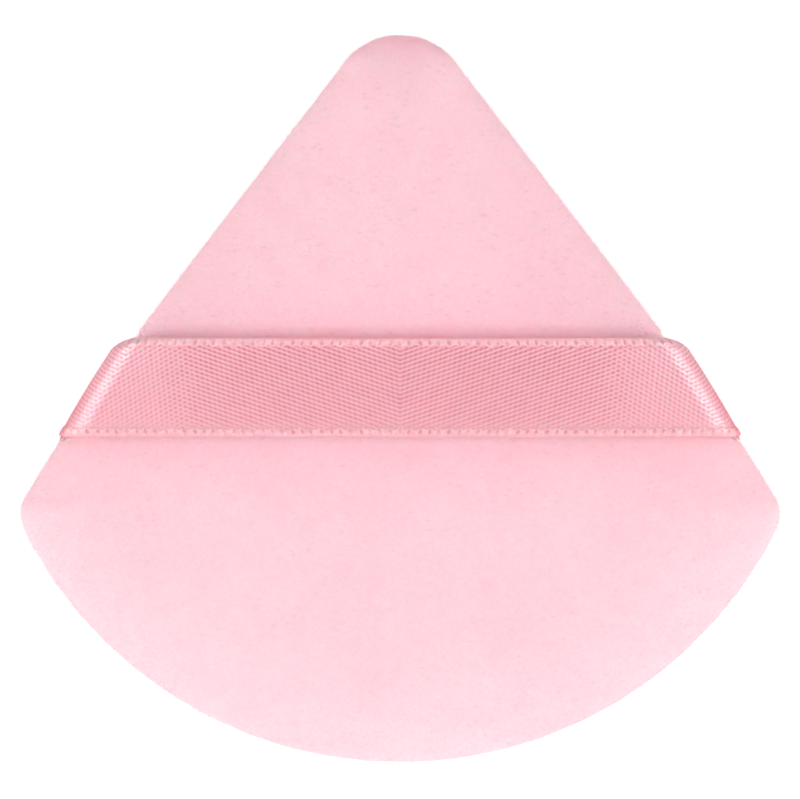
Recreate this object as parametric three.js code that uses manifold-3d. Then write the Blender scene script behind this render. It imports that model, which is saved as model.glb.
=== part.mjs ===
// A fan-shaped powder puff: two velour covers sewn right sides together and turned out
// round a foam core, with a woven ribbon strap caught in the seam for the fingers.
// Millimetres, +Z up. The puff lies on its powder face, strap up, tip towards +Y, with
// the origin below the middle of its outline.

import * as THREE from 'three';
import { mergeVertices } from 'three/addons/utils/BufferGeometryUtils.js';
import Module from 'manifold-3d';

const wasm = await Module();
wasm.setup();

// Outline of the puff
const PUFF_LENGTH = 76.7; // tip to the lowest point of the base
const TIP_RADIUS = 7.8;
const APEX_ANGLE = 74.6; // degrees between the two straight sides
const SIDE_LENGTH = 38.9; // straight stretch of each side
const FLANK_RADIUS = 151; // slow bow from the straight side to the corner
const CORNER_RADIUS = 4.3;
const BASE_RADIUS = 44.3;

// Velour covers
const FRONT_DEPTH = 6; // seam down to the flat powder face
const FRONT_ROLL = 7; // width of the rounded edge on the powder side
const BACK_RISE = 6.2; // seam up to the shoulder of the back
const BACK_ROLL = 8.5; // width of the rounded edge on the back
const BACK_CROWN = 0.8; // further swell towards the middle of the back
const COVER_WALL = 1.2; // pile and backing together
const SEAM_ALLOWANCE = 4.5; // turned-in edge past the fold
const SEAM_GAP = 0.3; // between the two turned-in edges

// Foam core
const CORE_CLEARANCE = 0.3; // to the covers all round

// Ribbon strap
const RIBBON_WIDTH = 10;
const RIBBON_THICKNESS = 0.4;
const RIBBON_CENTRE_Y = 1.15; // middle of the ribbon, above the middle of the outline
const FINGER_GAP = 5.2; // back cover to the underside of the ribbon
const RIBBON_BOW = 1.8; // rise from the ends of the flat run to its middle
const RIBBON_SHOULDER = 4.5; // outermost point to the end of the bend
const RIBBON_OVERHANG = 0.2; // how far the bend stands out past the outline
const RIBBON_SLANT = 0.55; // more of it at the tip edge, less at the base edge
const TAIL_MARGIN = 0.5; // tail ends this far inside the allowance
const RIBBON_CLEARANCE = 0.25; // to the velour that it is pressed into

// Sewing thread and stitches
const THREAD_DIAMETER = 0.28;
const THREAD_CLEARANCE = 0.25; // to the cloth that it lies on and passes through
const STITCH_LENGTH = 4.5;
const STITCH_INSET = 1.2; // fold to the machine stitch line
const STITCH_ENTRY = 0.4; // half the distance between the two legs at the cloth's face
const STITCH_TURN = 0.24; // half the width of the turn at the bottom of a stitch
const STITCH_TWIST = 0.4; // sideways lean of each leg, so that the two threads hook
const STITCH_HOOK = 0.3; // how far each thread reaches past the seam plane
const TURNING_GAP = 30; // length at the base left open for turning, then sewn by hand
const TACK_STITCH = 2.8;
const THREAD_END = 1.6; // loose end past the last stitch

// Facets
const TIP_STEPS = 4;
const SIDE_STEPS = 3;
const FLANK_STEPS = 2;
const CORNER_STEPS = 4;
const BASE_STEPS = 7;
const ROLL_STEPS = 4;
const FACE_STEPS = 3;
const BEND_STEPS = 7;
const SPAN_STEPS = 4;
const WIDTH_STEPS = 4;
const THREAD_SIDES = 4;

// Sizes that follow from the ones above
const HALF_APEX = THREE.MathUtils.degToRad(APEX_ANGLE / 2);
const SEAM_Z = FRONT_DEPTH;
const RIM_HEIGHT = SEAM_GAP / 2 + COVER_WALL; // widest point of each lip, from the seam plane
const ALLOWANCE_INSET = COVER_WALL + SEAM_ALLOWANCE;
const THREAD_RADIUS = THREAD_DIAMETER / 2;
const THREAD_HEIGHT = RIM_HEIGHT + THREAD_CLEARANCE + THREAD_RADIUS;
const SLOT_HEIGHT = THREAD_HEIGHT + THREAD_RADIUS + THREAD_CLEARANCE; // half of the core's slot
const BACK_TOP = SEAM_Z + BACK_RISE + BACK_CROWN;
const RIBBON_TOP = BACK_TOP + FINGER_GAP + RIBBON_THICKNESS / 2;
const SEAM_HOLE_LENGTH = 2 * (STITCH_ENTRY + THREAD_RADIUS + THREAD_CLEARANCE);
const SEAM_HOLE_WIDTH = 2 * (STITCH_TWIST + THREAD_RADIUS + THREAD_CLEARANCE);
const HAND_HOLE = 2 * (THREAD_RADIUS + THREAD_CLEARANCE);
const SEAM_LINE_INSET = COVER_WALL + STITCH_INSET;
const TACK_LINE_INSET = (SEAM_LINE_INSET + SEAM_HOLE_WIDTH / 2 + ALLOWANCE_INSET) / 2;

// Outline: a tip arc, straight sides, flank arcs, corner arcs and a base arc, all tangent

function arc(centre, radius, from, to, steps) {
  const curve = new THREE.EllipseCurve(centre.x, centre.y, radius, radius, from, to, true);
  return curve.getPoints(steps);
}

// The point at distance a from A and b from B, on the +X side of the line between them
function meetingPoint(pointA, a, pointB, b) {
  const between = pointA.clone().sub(pointB);
  const span = between.length();
  const along = (b * b - a * a + span * span) / (2 * span);
  const off = Math.sqrt(b * b - along * along);
  const unit = between.divideScalar(span);
  const sideways = new THREE.Vector2(unit.y, -unit.x);
  const sign = Math.sign(sideways.x);
  return pointB.clone().addScaledVector(unit, along).addScaledVector(sideways, sign * off);
}

function rightHalfOutline() {
  const outward = new THREE.Vector2(Math.cos(HALF_APEX), Math.sin(HALF_APEX));
  const downSide = new THREE.Vector2(Math.sin(HALF_APEX), -Math.cos(HALF_APEX));
  const tip = new THREE.Vector2(0, PUFF_LENGTH / 2 - TIP_RADIUS);
  const sideStart = tip.clone().addScaledVector(outward, TIP_RADIUS);
  const sideEnd = sideStart.clone().addScaledVector(downSide, SIDE_LENGTH);
  const flank = sideEnd.clone().addScaledVector(outward, -FLANK_RADIUS);
  const base = new THREE.Vector2(0, BASE_RADIUS - PUFF_LENGTH / 2);
  const corner = meetingPoint(flank, FLANK_RADIUS - CORNER_RADIUS, base, BASE_RADIUS - CORNER_RADIUS);
  const cornerStart = corner.clone().sub(flank).angle();
  const cornerEnd = corner.clone().sub(base).angle() - 2 * Math.PI;
  const side = [];
  for (let i = 1; i < SIDE_STEPS; i++) side.push(sideStart.clone().lerp(sideEnd, i / SIDE_STEPS));
  return [
    ...arc(tip, TIP_RADIUS, Math.PI / 2, HALF_APEX, TIP_STEPS),
    ...side,
    ...arc(flank, FLANK_RADIUS, HALF_APEX, cornerStart, FLANK_STEPS),
    ...arc(corner, CORNER_RADIUS, cornerStart, cornerEnd, CORNER_STEPS).slice(1),
    ...arc(base, BASE_RADIUS, cornerEnd, -Math.PI / 2, BASE_STEPS).slice(1),
  ];
}

// Anticlockwise from the tip, down the left side and back up the right
function wholeOutline() {
  const right = rightHalfOutline();
  const left = right.map((p) => new THREE.Vector2(-p.x, p.y));
  return [...left, ...right.slice(1, -1).reverse()];
}

const OUTLINE = wholeOutline();

// The heart is the point of the outline's middle line that lies deepest inside the edge
const HEART_Y =
  (TIP_RADIUS + (PUFF_LENGTH / 2 - TIP_RADIUS) * Math.sin(HALF_APEX) - PUFF_LENGTH / 2) /
  (1 + Math.sin(HALF_APEX));
const HEART = new THREE.Vector2(0, HEART_Y);
const HEART_DEPTH = edgeDistance(HEART);

function edgeDistance(point) {
  let least = Infinity;
  for (let i = 0; i < OUTLINE.length; i++) {
    const a = OUTLINE[i];
    const edge = OUTLINE[(i + 1) % OUTLINE.length].clone().sub(a);
    const t = THREE.MathUtils.clamp(point.clone().sub(a).dot(edge) / edge.lengthSq(), 0, 1);
    least = Math.min(least, a.clone().addScaledVector(edge, t).distanceTo(point));
  }
  return least;
}

// The outline drawn in by a true inset, each point moving along its line to the heart
function insetRing(inset, z) {
  return OUTLINE.map((edgePoint) => {
    let outer = 0;
    let inner = inset > 0 ? 1 : 0;
    for (let i = 0; i < 30; i++) {
      const middle = (outer + inner) / 2;
      if (edgeDistance(edgePoint.clone().lerp(HEART, middle)) < inset) outer = middle;
      else inner = middle;
    }
    const p = edgePoint.clone().lerp(HEART, inner);
    return new THREE.Vector3(p.x, p.y, z);
  });
}

// Half the outline's width at a height above its middle
function halfWidthAt(y) {
  for (let i = 0; i < OUTLINE.length / 2; i++) {
    const a = OUTLINE[i];
    const b = OUTLINE[i + 1];
    if (a.y >= y && b.y < y) return Math.abs(THREE.MathUtils.lerp(a.x, b.x, (a.y - y) / (a.y - b.y)));
  }
  throw new Error('no edge at this height');
}

// Meshes

function geometryOf(points, triangles) {
  const geometry = new THREE.BufferGeometry();
  const positions = points.flatMap((p) => [p.x, p.y, p.z]);
  geometry.setAttribute('position', new THREE.Float32BufferAttribute(positions, 3));
  geometry.setIndex(signedVolume(points, triangles) > 0 ? triangles.flat() : triangles.flat().reverse());
  return geometry;
}

function signedVolume(points, triangles) {
  let sum = 0;
  for (const [a, b, c] of triangles) sum += points[a].clone().cross(points[b]).dot(points[c]);
  return sum;
}

// A closed skin through rings of equal length, drawn together at a point at each end
function loft(firstPoint, rings, lastPoint) {
  const count = rings[0].length;
  const points = [firstPoint, ...rings.flat(), lastPoint];
  const at = (ring, i) => 1 + ring * count + (i % count);
  const triangles = [];
  for (let i = 0; i < count; i++) {
    triangles.push([0, at(0, i), at(0, i + 1)]);
    for (let r = 0; r + 1 < rings.length; r++) {
      triangles.push([at(r, i), at(r + 1, i), at(r, i + 1)]);
      triangles.push([at(r, i + 1), at(r + 1, i), at(r + 1, i + 1)]);
    }
    triangles.push([at(rings.length - 1, i + 1), at(rings.length - 1, i), points.length - 1]);
  }
  return geometryOf(points, triangles);
}

function solidOf(geometry) {
  const bare = geometry.index ? geometry.toNonIndexed() : geometry.clone();
  bare.deleteAttribute('normal');
  bare.deleteAttribute('uv');
  const merged = mergeVertices(bare, 1e-4);
  return new wasm.Manifold(
    new wasm.Mesh({
      numProp: 3,
      vertProperties: new Float32Array(merged.attributes.position.array),
      triVerts: new Uint32Array(merged.index.array),
    }),
  );
}

function cut(geometry, cutters) {
  let solid = solidOf(geometry);
  for (const cutter of cutters) solid = solid.subtract(cutter);
  const mesh = solid.getMesh();
  const result = new THREE.BufferGeometry();
  result.setAttribute('position', new THREE.Float32BufferAttribute(mesh.vertProperties, 3));
  result.setIndex(new THREE.Uint32BufferAttribute(mesh.triVerts, 1));
  return result;
}

// Covers and core: rings at an inset and a height from the seam plane

// A quarter ellipse from the widest edge to the face, from the angle start to 90 degrees
function edgeRoll(inset, width, height, rise, start = 0) {
  const profile = [];
  for (let i = 0; i <= ROLL_STEPS; i++) {
    const angle = THREE.MathUtils.lerp(start, Math.PI / 2, i / ROLL_STEPS);
    profile.push([inset + width * (1 - Math.cos(angle)), height + rise * Math.sin(angle)]);
  }
  return profile;
}

// The face inside the roll, up to but not including the heart
function faceRings(inset, height) {
  const profile = [];
  for (let i = 1; i < FACE_STEPS; i++) {
    profile.push([THREE.MathUtils.lerp(inset, HEART_DEPTH, i / FACE_STEPS), height]);
  }
  return profile;
}

// Each panel: its side of the seam, its depth, the width of its edge and its crown
const FRONT = { side: -1, depth: FRONT_DEPTH, roll: FRONT_ROLL, crown: 0 };
const BACK = { side: 1, depth: BACK_RISE, roll: BACK_ROLL, crown: BACK_CROWN };

function crownAt(panel, inset) {
  const away = 1 - Math.min(inset / HEART_DEPTH, 1);
  return panel.crown * (1 - away * away);
}

function ringsOf(panel, profile) {
  return profile.map(([inset, height]) => {
    return insetRing(inset, SEAM_Z + panel.side * (height + crownAt(panel, inset)));
  });
}

function heartPoint(panel, height) {
  return new THREE.Vector3(HEART.x, HEART.y, SEAM_Z + panel.side * (height + panel.crown));
}

// A dished shell of velour whose edge turns in at the seam as a flat allowance
function coverGeometry(panel) {
  const outerRise = panel.depth - RIM_HEIGHT;
  const innerWidth = panel.roll - COVER_WALL;
  const innerHeight = panel.depth - COVER_WALL;
  const outer = edgeRoll(0, panel.roll, RIM_HEIGHT, outerRise);
  outer.push(...faceRings(panel.roll, panel.depth));
  const inner = edgeRoll(COVER_WALL, innerWidth, RIM_HEIGHT, outerRise - COVER_WALL);
  inner.push(...faceRings(panel.roll, innerHeight));
  const fold = COVER_WALL * (1 - Math.SQRT1_2);
  const allowance = [
    [fold, SEAM_GAP / 2 + fold],
    [COVER_WALL, SEAM_GAP / 2],
    [ALLOWANCE_INSET, SEAM_GAP / 2],
    [ALLOWANCE_INSET, RIM_HEIGHT],
  ].map(([inset, height]) => insetRing(inset, SEAM_Z + panel.side * height));
  const rings = [...ringsOf(panel, outer.reverse()), ...allowance, ...ringsOf(panel, inner)];
  return loft(heartPoint(panel, panel.depth), rings, heartPoint(panel, innerHeight));
}

// The half of the core on one side of the seam, from the slot's lip to the face
function coreProfile(panel) {
  const rise = panel.depth - RIM_HEIGHT - COVER_WALL;
  const lip = Math.asin((SLOT_HEIGHT + CORE_CLEARANCE - RIM_HEIGHT) / rise);
  const inset = COVER_WALL + CORE_CLEARANCE;
  const height = RIM_HEIGHT - CORE_CLEARANCE;
  const profile = edgeRoll(inset, panel.roll - COVER_WALL, height, rise, lip);
  profile.push(...faceRings(panel.roll + CORE_CLEARANCE, height + rise));
  return profile;
}

// A pad of foam with a slot round its rim for the seam allowance and its stitches
function coreGeometry() {
  const slotInset = ALLOWANCE_INSET + CORE_CLEARANCE;
  const slot = [insetRing(slotInset, SEAM_Z + SLOT_HEIGHT), insetRing(slotInset, SEAM_Z - SLOT_HEIGHT)];
  const back = ringsOf(BACK, coreProfile(BACK).reverse());
  const front = ringsOf(FRONT, coreProfile(FRONT));
  const inside = COVER_WALL + CORE_CLEARANCE;
  return loft(
    heartPoint(BACK, BACK.depth - inside),
    [...back, ...slot, ...front],
    heartPoint(FRONT, FRONT.depth - inside),
  );
}

// Ribbon: each warp line runs along X at its own height on the outline

// The right half of a warp line, from the tail inside the seam to the middle of the span
function warpLine(y, tailExtra) {
  const lean = (y - RIBBON_CENTRE_Y) / (RIBBON_WIDTH / 2);
  const edge = halfWidthAt(y);
  const slope = 1 / Math.cos(HALF_APEX);
  const outermost = edge + RIBBON_OVERHANG + RIBBON_SLANT * lean;
  const fold = new THREE.Vector2(edge - COVER_WALL * slope, SEAM_Z);
  const tail = new THREE.Vector2(edge - (ALLOWANCE_INSET - TAIL_MARGIN) * slope - tailExtra, SEAM_Z);
  const shoulder = new THREE.Vector2(outermost - RIBBON_SHOULDER, RIBBON_TOP - RIBBON_BOW);
  const steepness = (2 * RIBBON_BOW) / shoulder.x;
  const reach = (outermost - (fold.x + shoulder.x) / 8) / 0.75;
  const bend = new THREE.CubicBezierCurve(
    fold,
    new THREE.Vector2(reach, SEAM_Z),
    new THREE.Vector2(reach, shoulder.y - steepness * (reach - shoulder.x)),
    shoulder,
  );
  const line = [tail, ...bend.getPoints(BEND_STEPS)];
  for (let i = 1; i <= SPAN_STEPS; i++) {
    const x = shoulder.x * (1 - i / SPAN_STEPS);
    line.push(new THREE.Vector2(x, RIBBON_TOP - RIBBON_BOW * (x / shoulder.x) ** 2));
  }
  return line;
}

// A whole warp line as a pair of faces, half a thickness to each side of its middle
function warpFaces(y, thickness, tailExtra) {
  const right = warpLine(y, tailExtra);
  const left = right.slice(0, -1).map((p) => new THREE.Vector2(-p.x, p.y));
  const line = [...left, ...right.reverse()];
  return line.map((p, i) => {
    const before = line[Math.max(i - 1, 0)];
    const after = line[Math.min(i + 1, line.length - 1)];
    const along = after.clone().sub(before).normalize().multiplyScalar(thickness / 2);
    const upper = new THREE.Vector3(p.x - along.y, y, p.y + along.x);
    const lower = new THREE.Vector3(p.x + along.y, y, p.y - along.x);
    return { upper, lower };
  });
}

function ribbonGeometry(extra) {
  const halfWidth = RIBBON_WIDTH / 2 + extra;
  const rows = [];
  for (let j = 0; j <= WIDTH_STEPS; j++) {
    const y = RIBBON_CENTRE_Y - halfWidth + (2 * halfWidth * j) / WIDTH_STEPS;
    rows.push(warpFaces(y, RIBBON_THICKNESS + 2 * extra, extra));
  }
  // Each section across the ribbon is a loop: along the upper face, back along the lower
  const sections = rows[0].map((_, i) => [
    ...rows.map((row) => row[i].upper),
    ...rows.map((row) => row[i].lower).reverse(),
  ]);
  const middleOf = (section) => {
    const sum = section.reduce((total, p) => total.add(p), new THREE.Vector3());
    return sum.divideScalar(section.length);
  };
  return loft(middleOf(sections[0]), sections, middleOf(sections.at(-1)));
}

// Stitching

// A line at an inset from the outline, walked anticlockwise from the tip
function stitchLine(inset) {
  return new THREE.CatmullRomCurve3(insetRing(inset, 0), true, 'centripetal');
}

// A place on a stitch line, with its own directions along the seam and inwards
function stitchPlace(line, distance) {
  const u = THREE.MathUtils.euclideanModulo(distance / line.getLength(), 1);
  const along = line.getTangentAt(u);
  const inward = new THREE.Vector3(-along.y, along.x, 0);
  const centre = line.getPointAt(u);
  const point = (forward, aside, height) =>
    centre.clone().addScaledVector(along, forward).addScaledVector(inward, aside).setZ(SEAM_Z + height);
  return { point, along, inward, centre };
}

// A square-sided needle hole through both allowances and whatever lies between them
function needleHole(place, length, width) {
  const hole = new THREE.BoxGeometry(length, width, 2 * SLOT_HEIGHT);
  hole.rotateZ(Math.atan2(place.along.y, place.along.x));
  hole.translate(place.centre.x, place.centre.y, SEAM_Z);
  return solidOf(hole);
}

// A thread along a path of { at, aside } points, where aside is never along the thread
function threadGeometry(path) {
  const rings = path.map(({ at, aside }, i) => {
    const before = path[Math.max(i - 1, 0)].at;
    const after = path[Math.min(i + 1, path.length - 1)].at;
    const arriving = at.clone().sub(before).normalize();
    const leaving = after.clone().sub(at).normalize();
    const along = arriving.add(leaving).normalize();
    const across = aside.clone().addScaledVector(along, -aside.dot(along)).normalize();
    const up = along.clone().cross(across);
    const ring = [];
    for (let s = 0; s < THREAD_SIDES; s++) {
      const angle = (2 * Math.PI * (s + 0.5)) / THREAD_SIDES;
      const p = at.clone().addScaledVector(across, THREAD_RADIUS * Math.cos(angle));
      ring.push(p.addScaledVector(up, THREAD_RADIUS * Math.sin(angle)));
    }
    return ring;
  });
  return loft(path[0].at, rings, path.at(-1).at);
}

// One thread of a lockstitch: it lies on its own side of the seam, and at each hole it
// dips past the seam plane, leaning over, to hook the thread from the other side
function lockstitchThread(places, side) {
  const dip = (place) =>
    [
      [-STITCH_ENTRY, STITCH_TWIST, THREAD_HEIGHT],
      [-STITCH_TURN, STITCH_TWIST / 2, -STITCH_HOOK],
      [STITCH_TURN, -STITCH_TWIST / 2, -STITCH_HOOK],
      [STITCH_ENTRY, -STITCH_TWIST, THREAD_HEIGHT],
    ].map(([forward, aside, height]) => ({
      at: place.point(forward, side * aside, side * height),
      aside: place.inward,
    }));
  const first = places[0];
  const last = places.at(-1);
  return threadGeometry([
    { at: first.point(-THREAD_END, side * STITCH_TWIST, side * THREAD_HEIGHT), aside: first.inward },
    ...places.flatMap(dip),
    { at: last.point(THREAD_END, -side * STITCH_TWIST, side * THREAD_HEIGHT), aside: last.inward },
  ]);
}

// A hand-sewn running stitch: over the back allowance, then under the front one
function runningStitchThread(places) {
  const path = places.flatMap((place, i) => {
    const side = i % 2 === 0 ? 1 : -1;
    return [side, -side].map((s) => ({ at: place.point(0, 0, s * THREAD_HEIGHT), aside: place.inward }));
  });
  const endSide = places.length % 2 === 0 ? 1 : -1;
  const first = places[0];
  const last = places.at(-1);
  return threadGeometry([
    { at: first.point(-THREAD_END, 0, THREAD_HEIGHT), aside: first.inward },
    ...path,
    { at: last.point(THREAD_END, 0, endSide * THREAD_HEIGHT), aside: last.inward },
  ]);
}

const seamLine = stitchLine(SEAM_LINE_INSET);
const seamLength = seamLine.getLength();
const stitchCount = Math.round(seamLength / STITCH_LENGTH);
const stitchPitch = seamLength / stitchCount;
const handStitches = Math.round(TURNING_GAP / stitchPitch);
const places = [];
for (let i = 0; i < stitchCount; i++) {
  const fromBase = (i + 0.5 - handStitches / 2) * stitchPitch;
  places.push(stitchPlace(seamLine, seamLength / 2 + fromBase));
}
const closingPlaces = places.slice(0, handStitches);
const seamPlaces = places.slice(handStitches);

// The reinforcing row over one ribbon tail, on the -X or +X side
function tackPlaces(sign) {
  const line = stitchLine(TACK_LINE_INSET);
  const length = line.getLength();
  let nearest = 0;
  for (let d = 0; d < length / 2; d += TACK_STITCH / 100) {
    const offset = Math.abs(line.getPointAt(d / length).y - RIBBON_CENTRE_Y);
    if (offset < Math.abs(line.getPointAt(nearest / length).y - RIBBON_CENTRE_Y)) nearest = d;
  }
  const middle = sign < 0 ? nearest : length - nearest;
  const stitches = Math.floor(RIBBON_WIDTH / Math.cos(HALF_APEX) / TACK_STITCH);
  const places = [];
  for (let i = 0; i <= stitches; i++) {
    places.push(stitchPlace(line, middle + (i - stitches / 2) * TACK_STITCH));
  }
  return places;
}

const leftTack = tackPlaces(-1);
const rightTack = tackPlaces(1);

const needleHoles = [
  ...seamPlaces.map((place) => needleHole(place, SEAM_HOLE_LENGTH, SEAM_HOLE_WIDTH)),
  ...[...closingPlaces, ...leftTack, ...rightTack].map((place) => needleHole(place, HAND_HOLE, HAND_HOLE)),
];
const ribbonBed = solidOf(ribbonGeometry(RIBBON_CLEARANCE));

// Finishes
const velour = new THREE.MeshStandardMaterial({ color: 0xfdd2dc, roughness: 0.95 });
const foam = new THREE.MeshStandardMaterial({ color: 0xf7efe4, roughness: 0.9 });
const satin = new THREE.MeshStandardMaterial({ color: 0xf1a8b5, roughness: 0.45 });
const thread = new THREE.MeshStandardMaterial({ color: 0xf6c3cd, roughness: 0.6 });

const puff = new THREE.Group();

function add(name, geometry, material) {
  const mesh = new THREE.Mesh(geometry, material);
  mesh.name = name;
  puff.add(mesh);
}

add('front_cover', cut(coverGeometry(FRONT), [ribbonBed, ...needleHoles]), velour);
add('back_cover', cut(coverGeometry(BACK), [ribbonBed, ...needleHoles]), velour);
add('foam_core', coreGeometry(), foam);
add('ribbon_strap', cut(ribbonGeometry(0), needleHoles), satin);
add('seam_needle_thread', lockstitchThread(seamPlaces, 1), thread);
add('seam_bobbin_thread', lockstitchThread(seamPlaces, -1), thread);
add('closing_thread', runningStitchThread(closingPlaces), thread);
add('left_ribbon_tack', runningStitchThread(leftTack), thread);
add('right_ribbon_tack', runningStitchThread(rightTack), thread);

export default puff;
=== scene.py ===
"""A fan-shaped velour powder puff with a woven ribbon strap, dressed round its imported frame.

Everything is in metres, in the frame's own axes: the puff lies on its powder face, its
strap up along +Z and its tip towards +Y.
"""

import math

import bmesh
import bpy
import numpy as np
from bpy.props import FloatProperty, FloatVectorProperty, IntProperty, PointerProperty
from mathutils import Matrix, Vector


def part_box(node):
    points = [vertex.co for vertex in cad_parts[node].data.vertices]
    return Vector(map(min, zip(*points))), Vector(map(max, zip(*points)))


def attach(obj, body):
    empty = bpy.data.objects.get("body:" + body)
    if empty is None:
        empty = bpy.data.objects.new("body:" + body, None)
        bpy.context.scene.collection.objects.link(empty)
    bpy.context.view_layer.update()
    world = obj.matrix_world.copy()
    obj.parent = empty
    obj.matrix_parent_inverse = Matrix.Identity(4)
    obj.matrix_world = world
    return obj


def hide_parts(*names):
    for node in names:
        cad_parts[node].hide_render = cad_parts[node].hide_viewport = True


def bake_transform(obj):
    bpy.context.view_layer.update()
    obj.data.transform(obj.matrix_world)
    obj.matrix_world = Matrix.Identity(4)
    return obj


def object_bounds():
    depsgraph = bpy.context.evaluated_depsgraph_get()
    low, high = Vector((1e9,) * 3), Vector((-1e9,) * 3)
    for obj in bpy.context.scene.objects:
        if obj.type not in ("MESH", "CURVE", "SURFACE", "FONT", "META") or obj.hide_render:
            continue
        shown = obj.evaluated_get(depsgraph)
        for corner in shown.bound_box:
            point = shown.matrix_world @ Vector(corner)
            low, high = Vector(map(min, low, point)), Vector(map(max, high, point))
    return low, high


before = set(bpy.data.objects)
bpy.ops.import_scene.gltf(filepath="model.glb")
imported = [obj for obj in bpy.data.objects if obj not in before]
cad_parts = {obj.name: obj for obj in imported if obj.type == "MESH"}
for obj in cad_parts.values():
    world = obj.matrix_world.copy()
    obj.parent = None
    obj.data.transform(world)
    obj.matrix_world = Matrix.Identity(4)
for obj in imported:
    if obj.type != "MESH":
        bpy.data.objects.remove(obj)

bl_info = {
    "name": "Velour powder puff",
    "version": (1, 0, 0),
    "blender": (4, 5, 0),
    "location": "3D View > Sidebar > Puff",
    "description": "Makes a fan-shaped velour powder puff with a woven ribbon strap",
    "category": "Add Mesh",
}

MM = 0.001
CAD_LOW, CAD_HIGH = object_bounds()
BACK_LOW, BACK_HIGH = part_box("back_cover")
FRONT_LOW, FRONT_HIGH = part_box("front_cover")
STRAP_LOW, STRAP_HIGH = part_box("ribbon_strap")
SEAM_HEIGHT = (BACK_LOW.z + FRONT_HIGH.z) / 2
SEAM_GAP = BACK_LOW.z - FRONT_HIGH.z
HALF_LENGTH = (BACK_HIGH.y - BACK_LOW.y) / 2
STRAP_MIDDLE = (STRAP_LOW.y + STRAP_HIGH.y) / 2
STRAP_HALF = (STRAP_HIGH.y - STRAP_LOW.y) / 2


def length(name, description, default):
    """A length in metres."""
    return FloatProperty(
        name=name, description=description, default=default, min=0.0,
        precision=5, subtype="DISTANCE", unit="LENGTH",
    )


def angle(name, description, degrees):
    """An angle, given in degrees and kept in radians."""
    return FloatProperty(
        name=name, description=description, default=math.radians(degrees), subtype="ANGLE",
    )


def colour(name, description, default):
    """A linear colour."""
    return FloatVectorProperty(
        name=name, description=description, default=default, size=3,
        min=0.0, max=1.0, subtype="COLOR",
    )


def amount(name, description, default):
    """A plain number."""
    return FloatProperty(name=name, description=description, default=default)


class PadSettings(bpy.types.PropertyGroup):
    """The puff's outline and the swell of its two panels."""

    tip_radius: length("Tip radius", "Round of the pointed end", 7.8 * MM)
    apex_angle: angle("Apex angle", "Between the two straight sides", 74.6)
    side_length: length("Side length", "Straight stretch of each side", 38.9 * MM)
    flank_radius: length("Flank radius", "Slow bow of each side near its corner", 151 * MM)
    corner_radius: length("Corner radius", "Round of each base corner", 4.3 * MM)
    base_radius: length("Base radius", "Round of the wide end", 44.3 * MM)
    front_roll: length("Front roll", "Width of the rounded edge under the seam", 7.0 * MM)
    back_roll: length("Back roll", "Width of the rounded edge over the seam", 8.5 * MM)
    back_crown: length("Back crown", "Swell of the back towards its middle", 0.8 * MM)
    wall: length("Velour", "Room that the cloth takes at the seam", 1.2 * MM)
    cloth: length("Cloth", "Thickness of the cloth under its pile", 1.104 * MM)
    allowance: length("Seam allowance", "Turned-in edge past the fold", 4.5 * MM)
    stitch: length("Stitch length", "Distance between the seam's stitches", 4.5 * MM)
    pucker: length("Pucker", "How far each stitch draws the edge in", 0.05 * MM)
    fullness: length("Fullness", "Ease that the pressure and the pile take up", 0.22 * MM)


class VelourSettings(bpy.types.PropertyGroup):
    """The velour's colours and its pile."""

    ground: colour("Ground", "Cloth between the fibres", (0.965, 0.61, 0.685))
    light: colour("Light nap", "Where the pile leans to the light", (0.975, 0.655, 0.725))
    # Painted shade: the strap's painted shadow on the back and painted shade at the puff's tip
    painted_shade: colour("Painted shade colour", "Where the strap has kept the light off", (1.0, 0.38, 0.49))
    gap: colour("Gaps", "Small partings in the pile", (0.72, 0.52, 0.585))
    tip: colour("Fibre tips", "Ends of the pile", (0.975, 0.67, 0.735))
    fibre_length: length("Fibre length", "Height of the pile", 0.36 * MM)
    fibre_radius: length("Fibre radius", "Half the width of a tuft at its root", 0.02 * MM)
    density: amount("Tufts", "Tufts on each square metre", 14e6)
    lean: angle("Lean", "Furthest that a tuft leans over", 34)
    seed: IntProperty(name="Seed", description="Start of the pile's chance", default=11)


class RibbonSettings(bpy.types.PropertyGroup):
    """The strap's path, its weave and its colours."""

    thickness: length("Thickness", "Of the woven ribbon", 0.4 * MM)
    bow: length("Bow", "Rise of the flat run to its middle", 1.5 * MM)
    shoulder: length("Shoulder", "Outermost point to the end of the bend", 2.7 * MM)
    slant: length("Slant", "How far the tip edge stands out and the base edge in", 0.55 * MM)
    curl: length("Curl", "How far the tip edge is drawn back in at the bend", 1.7 * MM)
    curl_width: length("Curl width", "Breadth of the edge that is drawn in", 1.2 * MM)
    column: length("Column", "Weave columns along the ribbon", 0.51 * MM)
    row: length("Row", "Weave rows across the ribbon", 0.46 * MM)
    relief: length("Relief", "Depth of the weave", 0.04 * MM)
    selvedge: length("Selvedge", "Width of each bound edge", 0.77 * MM)
    bead: length("Bead", "Distance between the selvedge's loops", 1.0 * MM)
    bead_height: length("Bead height", "How far the loops stand up", 0.09 * MM)
    fray: IntProperty(name="Fray", description="Loose yarn ends at each base corner", default=14)
    face: colour("Face", "Sides of the floats", (0.82, 0.41, 0.48))
    # Painted highlight on the tops of the floats
    crest_and_highlight: colour("Crest highlights", "Tops of the floats", (0.89, 0.53, 0.605))
    dash: colour("Dashes", "Gaps between the floats", (0.59, 0.18, 0.24))
    edge: colour("Selvedge colour", "Loops of the bound edge", (0.79, 0.43, 0.485))
    loop: colour("Loop tops", "Palest yarn of the bound edge", (0.87, 0.55, 0.595))
    # Painted shade where the ribbon turns down to the seam
    fold: colour("Fold shade", "Where the ribbon turns down to the seam", (0.62, 0.10, 0.15))


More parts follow.
